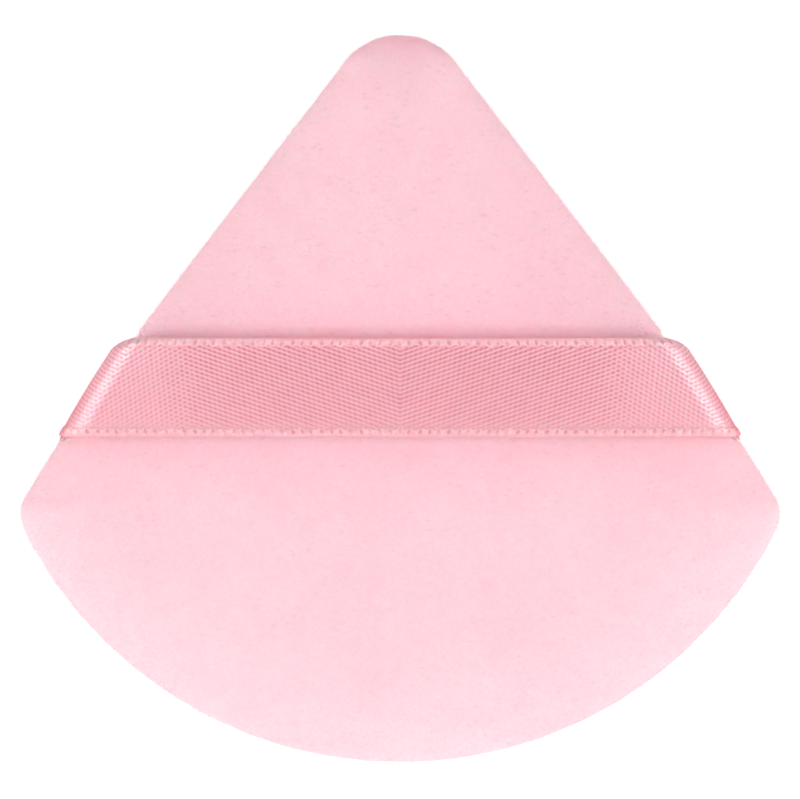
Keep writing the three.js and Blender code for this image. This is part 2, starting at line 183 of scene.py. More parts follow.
class StageSettings(bpy.types.PropertyGroup):
    """Camera and light."""

    distance: length("Camera distance", "Camera above the seam", 450 * MM)
    picture: length("Picture width", "Seen across at the seam", 84.15 * MM)
    drop: length("Drop", "Picture centre below the puff's middle", 0.084 * MM)
    ambient: amount("Ambient", "Strength of the light from all round", 0.42)
    key: amount("Key", "Power of each large lamp overhead, in watts", 2.26)
    front: amount("Front", "Power of the low wide lamp before the base, in watts", 0.5)
    corner: amount("Corners", "Power of each low lamp before a base corner, in watts", 1.85)
    side: amount("Sides", "Power of each soft lamp beyond a straight side, in watts", 0.35)
    glint: amount("Glints", "Power of each tall lamp that shows only in gloss, in watts", 4.4)


# Outline

TIP_STEPS, SIDE_STEPS, FLANK_STEPS, CORNER_STEPS, BASE_STEPS = 14, 26, 12, 10, 38
HALVINGS = 24


def heading(vector):
    return math.atan2(vector[1], vector[0])


def arc(centre, radius, start, end, steps):
    """Points from start to end, without the last."""
    angles = np.linspace(start, end, steps, endpoint=False)
    return centre + radius * np.column_stack([np.cos(angles), np.sin(angles)])


def outline(pad):
    """The puff's outline, anticlockwise from the tip, as an array of points."""
    half = pad.apex_angle / 2
    out = np.array([math.cos(half), math.sin(half)])
    down = np.array([math.sin(half), -math.cos(half)])
    tip = np.array([0.0, HALF_LENGTH - pad.tip_radius])
    side_start = tip + out * pad.tip_radius
    side_end = side_start + down * pad.side_length
    flank = side_end - out * pad.flank_radius
    base = np.array([0.0, pad.base_radius - HALF_LENGTH])
    # The corner's centre lies inside both the flank's circle and the base's
    far, near = pad.flank_radius - pad.corner_radius, pad.base_radius - pad.corner_radius
    between = flank - base
    span = np.linalg.norm(between)
    between /= span
    along = (near**2 - far**2 + span**2) / (2 * span)
    off = math.sqrt(near**2 - along**2) * np.array([-between[1], between[0]])
    corner = max((base + along * between + way * off for way in (1, -1)), key=lambda p: p[0])
    flank_end, base_start = heading(corner - flank), heading(corner - base)
    right = np.vstack([
        arc(tip, pad.tip_radius, math.pi / 2, half, TIP_STEPS),
        np.linspace(side_start, side_end, SIDE_STEPS, endpoint=False),
        arc(flank, pad.flank_radius, half, flank_end, FLANK_STEPS),
        arc(corner, pad.corner_radius, flank_end, base_start, CORNER_STEPS),
        arc(base, pad.base_radius, base_start, -math.pi / 2, BASE_STEPS),
        [[0.0, -HALF_LENGTH]],
    ])
    left = right * [-1, 1]
    return np.vstack([left, right[-2:0:-1]])


def heart_of(pad):
    """The point on the middle line that lies deepest inside the outline."""
    lean = math.sin(pad.apex_angle / 2)
    y = (pad.tip_radius + (HALF_LENGTH - pad.tip_radius) * lean - HALF_LENGTH) / (1 + lean)
    return np.array([0.0, y])


def edge_distance(points, edge):
    """How far each point lies from a closed outline."""
    step = np.roll(edge, -1, axis=0) - edge
    size = (step**2).sum(1)
    least = np.full(len(points), np.inf)
    for a, d, s in zip(edge, step, size):
        t = np.clip(((points - a) @ d) / s, 0, 1)
        gap = points - a - t[:, None] * d
        least = np.minimum(least, (gap**2).sum(1))
    return np.sqrt(least)


def drawn_in(edge, heart, inset):
    """The outline drawn in by an inset, each point along its line to the heart."""
    outer, inner = np.zeros(len(edge)), np.full(len(edge), 1.0 if inset > 0 else 0.0)
    for _ in range(HALVINGS):
        middle = (outer + inner) / 2
        short = edge_distance(edge + (heart - edge) * middle[:, None], edge) < inset
        outer = np.where(short, middle, outer)
        inner = np.where(short, inner, middle)
    return edge + (heart - edge) * inner[:, None]


def inside(points, edge):
    """Whether each point lies inside the outline, by counting crossings."""
    found = np.zeros(len(points), bool)
    for a, b in zip(edge, np.roll(edge, -1, axis=0)):
        spans = (a[1] > points[:, 1]) != (b[1] > points[:, 1])
        if spans.any():
            cross = a[0] + (points[:, 1] - a[1]) * (b[0] - a[0]) / (b[1] - a[1])
            found ^= spans & (points[:, 0] < cross)
    return found


def half_width_at(edge, y):
    """Half the outline's width at a height, from its left side."""
    left = edge[: len(edge) // 2 + 1]
    return np.interp(-y, -left[:, 1], -left[:, 0])


def smooth_step(low, high, x):
    t = np.clip((x - low) / (high - low), 0, 1)
    return t * t * (3 - 2 * t)


def ribbon_nearness(points, reach):
    """1 where the ribbon leaves the seam at either side, fading out along the edge."""
    off = np.abs(points[:, 1] - STRAP_MIDDLE)
    return 1 - smooth_step(STRAP_HALF, STRAP_HALF + reach, off)


# Meshes and modifiers


def mesh_from(bm, name):
    """A new mesh from a bmesh, which is freed."""
    mesh = bpy.data.meshes.new(name)
    bm.to_mesh(mesh)
    bm.free()
    return mesh


def object_from(mesh, name):
    ob = bpy.data.objects.new(name, mesh)
    bpy.context.scene.collection.objects.link(ob)
    mesh.shade_smooth()
    return ob


def merged_copy(node, name, distance):
    """A new object with a CAD node's mesh, its loose triangles joined up."""
    bm = bmesh.new()
    bm.from_mesh(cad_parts[node].data)
    bmesh.ops.remove_doubles(bm, verts=bm.verts, dist=distance)
    return object_from(mesh_from(bm, name), name)


def apply_modifiers(ob):
    """Turns an object's live modifiers into its own plain mesh."""
    graph = bpy.context.evaluated_depsgraph_get()
    graph.update()
    made = bpy.data.meshes.new_from_object(
        ob.evaluated_get(graph), preserve_all_data_layers=True, depsgraph=graph,
    )
    old = ob.data
    ob.modifiers.clear()
    ob.data = made
    if old.users == 0:
        bpy.data.meshes.remove(old)


def subdivide(ob, kind="CATMULL_CLARK"):
    """Adds one level of subdivision, not yet applied."""
    rounded = ob.modifiers.new("round", "SUBSURF")
    rounded.levels = rounded.render_levels = 1
    rounded.subdivision_type = kind


def smooth(ob, iterations, group=""):
    """Adds a smoothing, of a vertex group or of all, not yet applied."""
    ease = ob.modifiers.new("ease", "SMOOTH")
    ease.factor = 0.5
    ease.iterations = iterations
    ease.vertex_group = group


def dress(ob, material):
    """Gives an object one material, with smooth faces."""
    ob.data.materials.clear()
    ob.data.materials.append(material)
    ob.data.shade_smooth()


def points_of(mesh):
    flat = np.empty(len(mesh.vertices) * 3)
    mesh.vertices.foreach_get("co", flat)
    return flat.reshape(-1, 3)


def move_points(mesh, points):
    mesh.vertices.foreach_set("co", points.ravel())
    mesh.update()


# Panels

LIP_STEPS = 5
EDGE_INSETS = (0.12 * MM, 0.45 * MM, 0.95 * MM)
FACE_SHARES = (0.975, 0.945, 0.91, 0.87, 0.825, 0.775, 0.72, 0.66, 0.6, 0.535, 0.465)
ALLOWANCE_SHARES = (1.0, 0.6, 0.3, 0.1)
PUCKER_REACH = 4.0 * MM
# Each allowance steps aside for the ribbon's tail, and the back panel for the ribbon's climb
TAIL_ROOM, TAIL_REACH = 0.3 * MM, 1.6 * MM
BED_CLEARANCE, BED_REACH, BED_START = 0.32 * MM, 0.9 * MM, 15 * MM
CLIMB_POINTS = 30
HIDDEN_LIP = 0.35 * MM
# The cloth is simulated at ten times its size, and no point moves further than the cap
CLOTH_SCALE = 10.0
CLOTH_FRAMES = 20
CLOTH_CAP = 0.45 * MM
CLOTH_EASE = 14
LEAST_MOVE = 1e-9


class Swell:
    """A panel's height over the seam, as a smooth surface on a fine grid."""

    STEP = 0.4 * MM
    MARGIN = 2.0 * MM
    BLUR = 2.8 * MM
    BLUR_START, BLUR_END = 1.0 * MM, 5.5 * MM

    def __init__(self, edge, depth, rim, roll, crown, heart_depth):
        self.low = edge.min(0) - self.MARGIN
        high = edge.max(0) + self.MARGIN
        count = np.ceil((high - self.low) / self.STEP).astype(int) + 1
        xs, ys = (self.low[a] + self.STEP * np.arange(count[a]) for a in (0, 1))
        grid = np.stack(np.meshgrid(xs, ys, indexing="ij"), -1).reshape(-1, 2)
        inset = np.where(inside(grid, edge), edge_distance(grid, edge), 0).reshape(count)
        share = np.clip(1 - inset / roll, 0, 1)
        height = rim + (depth - rim) * np.sqrt(np.clip(1 - share**2, 0, 1))
        height += crown * (1 - np.clip(1 - inset / heart_depth, 0, 1) ** 2)
        mix = smooth_step(self.BLUR_START, self.BLUR_END, inset)
        self.height = height + (self.blurred(height) - height) * mix

    def blurred(self, field):
        reach = int(3 * self.BLUR / self.STEP)
        bell = np.exp(-0.5 * (np.arange(-reach, reach + 1) * self.STEP / self.BLUR) ** 2)
        bell /= bell.sum()
        for axis in (0, 1):
            pad = [(reach, reach) if a == axis else (0, 0) for a in (0, 1)]
            wide = np.pad(field, pad, mode="edge")
            field = np.apply_along_axis(np.convolve, axis, wide, bell, mode="valid")
        return field

    def at(self, points):
        place = (points - self.low) / self.STEP
        cell = np.clip(np.floor(place).astype(int), 0, np.array(self.height.shape) - 2)
        fx, fy = (place - cell).T
        x, y = cell.T
        h = self.height
        low = h[x, y] * (1 - fx) + h[x + 1, y] * fx
        high = h[x, y + 1] * (1 - fx) + h[x + 1, y + 1] * fx
        return low * (1 - fy) + high * fy


def panel_rings(pad, edge, heart, swell):
    """The rings of a panel's sheet, from the end of its allowance round the lip at the seam to
    its face. Heights are over the seam."""
    rings = []
    for share in ALLOWANCE_SHARES:
        ring = drawn_in(edge, heart, pad.wall + share * pad.allowance)
        height = SEAM_GAP / 2 + TAIL_ROOM * ribbon_nearness(ring, TAIL_REACH)
        rings.append(np.column_stack([ring, height]))
    for turn in np.linspace(0, math.pi / 2, LIP_STEPS + 1):
        ring = drawn_in(edge, heart, pad.wall * (1 - math.sin(turn)))
        height = SEAM_GAP / 2 + pad.wall * (1 - math.cos(turn))
        rings.append(np.column_stack([ring, np.full(len(ring), height)]))
    for inset in EDGE_INSETS:
        ring = drawn_in(edge, heart, inset)
        rings.append(np.column_stack([ring, swell.at(ring)]))
    last = rings[-1][:, :2]
    for share in FACE_SHARES:
        ring = heart + (last - heart) * share
        rings.append(np.column_stack([ring, swell.at(ring)]))

    # Stitches draw the edge in where its ease would otherwise stand out
    steps = np.linalg.norm(edge - np.roll(edge, 1, axis=0), axis=1)
    along = np.cumsum(steps)
    stitches = round(along[-1] / pad.stitch)
    draw = pad.pucker * (0.5 + 0.5 * np.cos(2 * np.pi * stitches * along / along[-1]))
    inward = (heart - edge) / np.linalg.norm(heart - edge, axis=1)[:, None]
    for ring in rings[len(ALLOWANCE_SHARES):]:
        near = 1 - smooth_step(0.0, PUCKER_REACH, edge_distance(ring[:, :2], edge))
        ring[:, :2] += inward * ((draw - pad.fullness) * near)[:, None]
    return rings


def panel_mesh(pad, side, depth, roll, crown):
    """One velour panel as a sheet with its right side out, and the number of points on each of
    its rings."""
    edge, heart = outline(pad), heart_of(pad)
    rim = SEAM_GAP / 2 + pad.wall
    swell = Swell(edge, depth, rim, roll, crown, edge_distance(heart[None], edge)[0])
    bm = bmesh.new()
    loops = []
    for ring in panel_rings(pad, edge, heart, swell):
        loops.append([bm.verts.new((x, y, SEAM_HEIGHT + side * z)) for x, y, z in ring])
    for inner, outer in zip(loops, loops[1:]):
        for i in range(len(edge)):
            j = (i + 1) % len(edge)
            quad = (inner[i], inner[j], outer[j], outer[i])
            bm.faces.new(quad if side > 0 else quad[::-1])
    fill_middle(bm, loops[-1], lambda p: SEAM_HEIGHT + side * swell.at(p))
    bmesh.ops.recalc_face_normals(bm, faces=bm.faces)
    face = [f for f in bm.faces if side * (f.calc_center_median().z - SEAM_HEIGHT) > rim]
    if side * sum(f.normal.z for f in face) < 0:
        bmesh.ops.reverse_faces(bm, faces=bm.faces)
    return mesh_from(bm, "panel"), len(edge)


def fill_middle(bm, loop, height_at):
    """Closes the innermost ring with a grid of quads, each at the panel's own height."""
    quarter = len(loop) // 4
    old = set(bm.verts)
    rails = []
    for start in (quarter // 2, quarter // 2 + 2 * quarter):
        for i in range(start, start + quarter):
            rails.append(bm.edges.get((loop[i % len(loop)], loop[(i + 1) % len(loop)])))
    bmesh.ops.grid_fill(bm, edges=rails, use_smooth=True)
    fresh = [v for v in bm.verts if v not in old]
    heights = height_at(np.array([v.co.xy for v in fresh]))
    for v, z in zip(fresh, heights):
        v.co.z = z


def inflate(ob, pinned, settled):
    """Lets the sewn panel swell under a little pressure, held at its allowance and seam, then
    eases the creases out of its face."""
    before = points_of(ob.data)
    move_points(ob.data, before * CLOTH_SCALE)
    group = ob.vertex_groups.new(name="sewn")
    group.add(list(range(pinned)), 1.0, "REPLACE")
    cloth = ob.modifiers.new("velour", "CLOTH")
    rules = cloth.settings
    rules.quality = 5
    rules.mass = 0.3
    rules.tension_stiffness = rules.compression_stiffness = 25
    rules.shear_stiffness = 8
    rules.bending_stiffness = 2
    rules.use_pressure = True
    rules.uniform_pressure_force = 4
    rules.vertex_group_mass = group.name
    rules.effector_weights.gravity = 0
    cloth.point_cache.frame_end = CLOTH_FRAMES
    scene = bpy.context.scene
    for step in range(1, CLOTH_FRAMES + 1):
        scene.frame_set(step)
    apply_modifiers(ob)
    scene.frame_set(1)
    move = points_of(ob.data) / CLOTH_SCALE - before
    size = np.linalg.norm(move, axis=1, keepdims=True)
    move *= np.minimum(1, CLOTH_CAP / np.maximum(size, LEAST_MOVE))
    move_points(ob.data, before + move)
    free = ob.vertex_groups.new(name="face")
    free.add(list(range(settled, len(ob.data.vertices))), 1.0, "REPLACE")
    smooth(ob, CLOTH_EASE, free.name)
    apply_modifiers(ob)


def press_bed(mesh, ribbon, pad):
    """Presses the back panel in wherever the ribbon climbs out of the seam against it."""
    points = points_of(mesh)
    edge = outline(pad)
    near = ribbon_nearness(points, BED_REACH)
    outer = np.abs(points[:, 0]) > BED_START
    over = points[:, 2] > SEAM_HEIGHT + SEAM_GAP
    for i in np.nonzero((near > 0) & outer & over)[0]:
        x, y, z = points[i]
        line = warp_line(ribbon, pad, edge, min(max(y, STRAP_LOW.y), STRAP_HIGH.y))
        rise = line[: np.argmax(line[:, 0]) + CLIMB_POINTS]
        limit = np.interp(z, rise[:, 1], rise[:, 0]) - BED_CLEARANCE
        if abs(x) > limit:
            points[i, 0] += math.copysign(near[i] * (abs(x) - limit), -x)
    move_points(mesh, points)


def without_allowance(mesh):
    """A copy of a subdivided panel with only what shows: everything past the lip's start."""
    bm = bmesh.new()
    bm.from_mesh(mesh)
    reach = SEAM_GAP / 2 + HIDDEN_LIP
    hidden = [f for f in bm.faces if abs(f.calc_center_median().z - SEAM_HEIGHT) < reach]
    bmesh.ops.delete(bm, geom=hidden, context="FACES")
    return mesh_from(bm, "skin")


def velour_panel(node, name, side, depth, roll, crown):
    """Makes a panel and its pile in place of a CAD cover."""
    scene = bpy.context.scene
    pad, velour = scene.puff_pad, scene.puff_velour
    mesh, count = panel_mesh(pad, side, depth, roll, crown)
    panel = object_from(mesh, name)
    sewn = len(ALLOWANCE_SHARES) + 1
    inflate(panel, count * sewn, count * (sewn + LIP_STEPS + len(EDGE_INSETS)))
    subdivide(panel)
    apply_modifiers(panel)
    if side > 0:
        press_bed(panel.data, scene.puff_ribbon, pad)
    skin = without_allowance(panel.data)

    thick = panel.modifiers.new("thickness", "SOLIDIFY")
    thick.thickness = pad.cloth
    thick.offset = -1.0
    apply_modifiers(panel)
    dress(panel, bpy.data.materials.get("velour cloth") or velour_cloth_material(velour))

    pile = object_from(skin, name + "_pile")
    run_tree(
        pile, bpy.data.node_groups.get("Velour pile") or pile_tree(),
        Density=velour.density, Length=velour.fibre_length, Radius=velour.fibre_radius,
        Lean=velour.lean, Seed=velour.seed,
        Material=bpy.data.materials.get("velour pile") or velour_pile_material(velour),
    )
    for piece in (panel, pile):
        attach(piece, "pad")
    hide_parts(node)


def cover_growth(velour):
    """How far the pressure and the pile take a panel past the face it is cut to."""
    return CLOTH_CAP + velour.fibre_length


class PUFF_OT_back_panel(bpy.types.Operator):
    """Make the velour panel on the strap side, with its pile"""

    bl_idname = "puff.back_panel"
    bl_label = "Back panel"

    def execute(self, context):
        pad = context.scene.puff_pad
        depth = BACK_HIGH.z - SEAM_HEIGHT - pad.back_crown - cover_growth(context.scene.puff_velour)
        velour_panel("back_cover", "velour_back", 1, depth, pad.back_roll, pad.back_crown)
        return {"FINISHED"}


class PUFF_OT_front_panel(bpy.types.Operator):
    """Make the velour panel on the powder side, with its pile"""

    bl_idname = "puff.front_panel"
    bl_label = "Front panel"

    def execute(self, context):
        pad = context.scene.puff_pad
        depth = SEAM_HEIGHT - FRONT_LOW.z - cover_growth(context.scene.puff_velour)
        velour_panel("front_cover", "velour_front", -1, depth, pad.front_roll, 0.0)
        return {"FINISHED"}


# Node trees

FLOAT, VECTOR = "NodeSocketFloat", "NodeSocketVector"
INTEGER, MATERIAL = "NodeSocketInt", "NodeSocketMaterial"


class Value:
    """A number that varies over a piece. Arithmetic on it makes linked nodes in its tree."""

    def __init__(self, tree, source):
        self.tree = tree
        self.socket = source.outputs[0] if isinstance(source, bpy.types.Node) else source

    def math(self, operation, *others):
        node = self.tree.nodes.new("ShaderNodeMath")
        node.operation = operation
        for socket, value in zip(node.inputs, (self, *others)):
            feed(self.tree, value, socket)
        return Value(self.tree, node)

    def ramp(self, low, high, start=0.0, end=1.0):
        """A smooth change from start to end as the number goes from low to high."""
        node = self.tree.nodes.new("ShaderNodeMapRange")
        node.interpolation_type = "SMOOTHSTEP"
        for socket, value in zip(node.inputs, (self, low, high, start, end)):
            feed(self.tree, value, socket)
        return Value(self.tree, node)

    def __add__(self, other):
        return self.math("ADD", other)

    def __sub__(self, other):
        return self.math("SUBTRACT", other)

    def __rsub__(self, other):
        return self * -1.0 + other

    def __mul__(self, other):
        return self.math("MULTIPLY", other)

    def __truediv__(self, other):
        return self.math("DIVIDE", other)

    def __pow__(self, other):
        return self.math("POWER", other)

    def __abs__(self):
        return self.math("ABSOLUTE")


def feed(tree, value, socket):
    """Links a socket to a value or to a node's first output, or sets a plain value on it."""
    if isinstance(value, Value):
        value = value.socket
    elif isinstance(value, bpy.types.Node):
        value = value.outputs[0]
    if isinstance(value, bpy.types.NodeSocket):
        tree.links.new(value, socket)
    elif socket.type == "RGBA":
        socket.default_value = (*value, 1.0)[:4]
    else:
        socket.default_value = value


def add(tree, kind, settings=None, **values):
    """A node with its settings and input values; names use _ for a space."""
    node = tree.nodes.new(kind)
    for key, value in (settings or {}).items():
        setattr(node, key, value)
    for key, value in values.items():
        feed(tree, value, node.inputs[key.replace("_", " ")])
    return node


def split(tree, vector):
    """The three numbers of a vector."""
    return [Value(tree, part) for part in add(tree, "ShaderNodeSeparateXYZ", Vector=vector).outputs]


def vector_node(tree, operation, *values):
    """Arithmetic on vectors."""
    node = add(tree, "ShaderNodeVectorMath", {"operation": operation})
    for socket, value in zip(node.inputs, values):
        feed(tree, value, socket)
    return node


def mixed(tree, factor, a, b, blend="MIX"):
    """The colour between a and b, or b laid over a by a blend type."""
    node = add(tree, "ShaderNodeMix", {"data_type": "RGBA", "blend_type": blend})
    for index, value in ((0, factor), (6, a), (7, b)):
        feed(tree, value, node.inputs[index])
    return node.outputs[2]


def geometry_tree(name, inputs):
    """A geometry tree with named inputs. Returns it with its input sockets and output node."""
    tree = bpy.data.node_groups.new(name, "GeometryNodeTree")
    for way in ("INPUT", "OUTPUT"):
        tree.interface.new_socket("Geometry", in_out=way, socket_type="NodeSocketGeometry")
    for label, kind in inputs:
        tree.interface.new_socket(label, in_out="INPUT", socket_type=kind)
    return tree, tree.nodes.new("NodeGroupInput").outputs, tree.nodes.new("NodeGroupOutput")


def run_tree(ob, tree, **values):
    """Runs a geometry tree on an object and keeps the result as its plain mesh."""
    modifier = ob.modifiers.new(tree.name, "NODES")
    modifier.node_group = tree
    for item in tree.interface.items_tree:
        key = item.name.replace(" ", "_")
        if item.in_out == "INPUT" and key in values:
            modifier[item.identifier] = values[key]
    apply_modifiers(ob)


def finish_tree(tree, geometry, material, result):
    """Ends a geometry tree: real geometry with its material."""
    real = add(tree, "GeometryNodeRealizeInstances", Geometry=geometry)
    dressed = add(tree, "GeometryNodeSetMaterial", Geometry=real, Material=material)
    feed(tree, dressed, result.inputs[0])


def stored(tree, name, value, geometry, domain, kind="FLOAT"):
    """Geometry with a named attribute on it."""
    return add(
        tree, "GeometryNodeStoreNamedAttribute", {"domain": domain, "data_type": kind},
        Geometry=geometry, Name=name, Value=value,
    )


def shader_group(name, inputs, outputs):
    """A shader group that reads a place and other named numbers and gives named numbers.
    Returns it with its input sockets and its output node."""
    group = bpy.data.node_groups.new(name, "ShaderNodeTree")
    group.interface.new_socket("Place", in_out="INPUT", socket_type=VECTOR)
    for label in inputs:
        group.interface.new_socket(label, in_out="INPUT", socket_type=FLOAT)
    for label in outputs:
        group.interface.new_socket(label, in_out="OUTPUT", socket_type=FLOAT)
    return group, group.nodes.new("NodeGroupInput").outputs, group.nodes.new("NodeGroupOutput")


def new_material(name, roughness, **constants):
    """A material with a Principled shader whose even values sit on its own sockets."""
    material = bpy.data.materials.new(name)
    material.use_nodes = True
    tree = material.node_tree
    shader = tree.nodes["Principled BSDF"]
    feed(tree, roughness, shader.inputs["Roughness"])
    for key, value in constants.items():
        feed(tree, value, shader.inputs[key.replace("_", " ")])
    return material, tree, shader


def object_place(tree):
    return add(tree, "ShaderNodeTexCoord").outputs["Object"]


def attribute(tree, name):
    """A named number that the mesh carries."""
    return Value(tree, add(tree, "ShaderNodeAttribute", {"attribute_name": name}).outputs["Fac"])


def noise(tree, place, scale, detail=2.0, roughness=0.5, distortion=0.0):
    node = add(
        tree, "ShaderNodeTexNoise", Vector=place, Scale=scale, Detail=detail,
        Roughness=roughness, Distortion=distortion,
    )
    return Value(tree, node)


def bumped(tree, shader, height, distance, strength=1.0):
    bump = add(tree, "ShaderNodeBump", Height=height, Distance=distance, Strength=strength)
    feed(tree, bump, shader.inputs["Normal"])


# Velour

# Noise scales, in features on a metre
NAP_BROAD, NAP_PATCH, NAP_FINE = 95.0, 420.0, 2600.0
TICK_CELLS, TICK_FIELD, TICK_WARP = 900.0, 240.0, 900.0
NAP_ROUGHNESS = 0.55
TICK_SWAY, TICK_STRETCH = 0.7 * MM, (0.75, 1.9, 1.0)
# Shares of the gap colour in the partings, of the grain, and of chance in each tuft
CLOTH_MARKS, PILE_MARKS = 0.4, 0.45
GRAIN_SHARE, TUFT_TONE = 0.08, 0.035
TUFT_SIZES = (0.65, 1.25)
# Painted shadow of the strap on the back: shares of the painted shade colour, and how far each
# reaches
SHADOW_WIDE, SHADOW_WIDE_REACH = 0.14, 3.0 * MM
SHADOW_TIGHT, SHADOW_TIGHT_REACH = 0.34, 0.7 * MM
SHADOW_PAST, SHADOW_UNDER = 0.2 * MM, 0.3 * MM
# Painted shade near the puff's tip, where its round turns away from the light: its share, and where
# it starts and is full, in from the tip
TIP_SHADE, TIP_SHADE_START, TIP_SHADE_END = 0.28, 4.2 * MM, 0.4 * MM
SHEEN_TINT = (1.0, 0.97, 0.95)
# The bake's map is a plan of the puff, from its middle
PLAN_SCALE, PLAN_MIDDLE = (11.5, 11.5, 0.0), (0.5, 0.5, 0.0)


def pile_grain_group():
    """Nap drift, grain and small partings, for the cloth and for its fibres."""
    group, given, result = shader_group("Pile grain", ["Marks"], ["Nap", "Grain", "Mark", "Relief"])
    place = given["Place"]
    broad = noise(group, place, NAP_BROAD, 2.0, NAP_ROUGHNESS)
    patch = noise(group, place, NAP_PATCH, 3.0, NAP_ROUGHNESS, 0.6)
    nap = broad.ramp(0.3, 0.7) * 0.55 + patch.ramp(0.3, 0.7) * 0.45
    grain = noise(group, place, NAP_FINE, 3.0, NAP_ROUGHNESS).ramp(0.28, 0.72)

    # Short level partings: the hearts of flattened cells, kept here and there
    warp = add(group, "ShaderNodeTexNoise", Vector=place, Scale=TICK_WARP, Detail=1.0)
    warped = vector_node(group, "MULTIPLY_ADD", warp.outputs["Color"], (TICK_SWAY,) * 3, place)
    flat = vector_node(group, "MULTIPLY", warped, TICK_STRETCH)
    cells = Value(group, add(group, "ShaderNodeTexVoronoi", Vector=flat, Scale=TICK_CELLS))
    some = noise(group, place, TICK_FIELD, 1.0, NAP_ROUGHNESS).ramp(0.4, 0.56)
    tick = cells.ramp(0.04, 0.34, 1.0, 0.0) * some
    for label, value in (
        ("Nap", nap), ("Grain", grain), ("Mark", tick * given["Marks"]), ("Relief", grain - tick),
    ):
        feed(group, value, result.inputs[label])
    return group


def painted_shade_group():
    """Painted shade: a painted shadow of the strap on the back, deepest along its tip edge, filling
    the band under it and ending just past its base edge, and painted shade towards the puff's tip."""
    group, given, result = shader_group("Deep dye", [], ["Share"])
    _, y, z = split(group, given["Place"])
    top, low = STRAP_HIGH.y, STRAP_LOW.y
    # Painted shadow along the strap's tip edge, filling the hidden band under it and ending just
    # past its base edge, on the back only
    wide = y.ramp(top, top + SHADOW_WIDE_REACH, SHADOW_WIDE, 0.0)
    tight = y.ramp(top, top + SHADOW_TIGHT_REACH, SHADOW_TIGHT, 0.0)
    under = y.ramp(low - SHADOW_PAST, low + SHADOW_UNDER)
    back = z.math("GREATER_THAN", SEAM_HEIGHT)
    # Painted shade towards the tip, on both panels
    brushed = y.ramp(BACK_HIGH.y - TIP_SHADE_START, BACK_HIGH.y - TIP_SHADE_END, 0.0, TIP_SHADE)
    feed(group, (wide + tight) * (under * back) + brushed, result.inputs["Share"])
    return group


def velour_nodes(tree, velour, marks):
    """The velour's pattern nodes, its drifting colour, and its share of painted shade."""
    groups = bpy.data.node_groups
    grain = groups.get("Pile grain") or pile_grain_group()
    shade_group = groups.get("Deep dye") or painted_shade_group()
    place = object_place(tree)
    pile = add(tree, "ShaderNodeGroup", {"node_tree": grain}, Place=place, Marks=marks).outputs
    share = add(tree, "ShaderNodeGroup", {"node_tree": shade_group}, Place=place)
    return pile, mixed(tree, pile["Nap"], velour.ground, velour.light), share


def velour_cloth_material(velour):
    """The ground of the velour: soft, dull, drifting with the nap."""
    material, tree, shader = new_material(
        "velour cloth", 0.96, Sheen_Weight=0.35, Sheen_Roughness=0.45,
        Sheen_Tint=SHEEN_TINT, Specular_IOR_Level=0.15,
        Subsurface_Weight=0.7, Subsurface_Radius=(1.0, 0.25, 0.3), Subsurface_Scale=3.0 * MM,
    )
    shader.subsurface_method = "BURLEY"
    pile, tone, share = velour_nodes(tree, velour, CLOTH_MARKS)
    # Painted shadow of the strap and painted shade at the tip
    tone = mixed(tree, share, tone, velour.painted_shade)
    tone = mixed(tree, GRAIN_SHARE, tone, pile["Grain"], "SOFT_LIGHT")
    feed(tree, mixed(tree, pile["Mark"], tone, velour.gap), shader.inputs["Base Color"])
    bumped(tree, shader, pile["Relief"], 0.05 * MM, 0.25)
    return material


def velour_pile_material(velour):
    """The fibres: a little paler towards their tips, no two quite alike."""
    material, tree, shader = new_material(
        "velour pile", 0.9, Sheen_Weight=0.3, Sheen_Roughness=0.4, Specular_IOR_Level=0.2,
        Sheen_Tint=SHEEN_TINT,
    )
    pile, tone, share = velour_nodes(tree, velour, PILE_MARKS)
    tone = mixed(tree, attribute(tree, "tip"), tone, velour.tip)
    # Painted shadow of the strap and painted shade at the tip
    tone = mixed(tree, share, tone, velour.painted_shade)
    shade = (attribute(tree, "tone") * TUFT_TONE).math("MAXIMUM", pile["Mark"])
    feed(tree, mixed(tree, shade, tone, velour.gap), shader.inputs["Base Color"])
    return material


def random_number(tree, low, high):
    """A chance number for each point or instance, from a fixed seed."""
    node = add(tree, "FunctionNodeRandomValue", {"data_type": "FLOAT"})
    numbers = [socket for socket in node.inputs if socket.type == "VALUE"]
    for socket, value in zip(numbers, (low, high)):
        socket.default_value = value
    return next(socket for socket in node.outputs if socket.type == "VALUE")


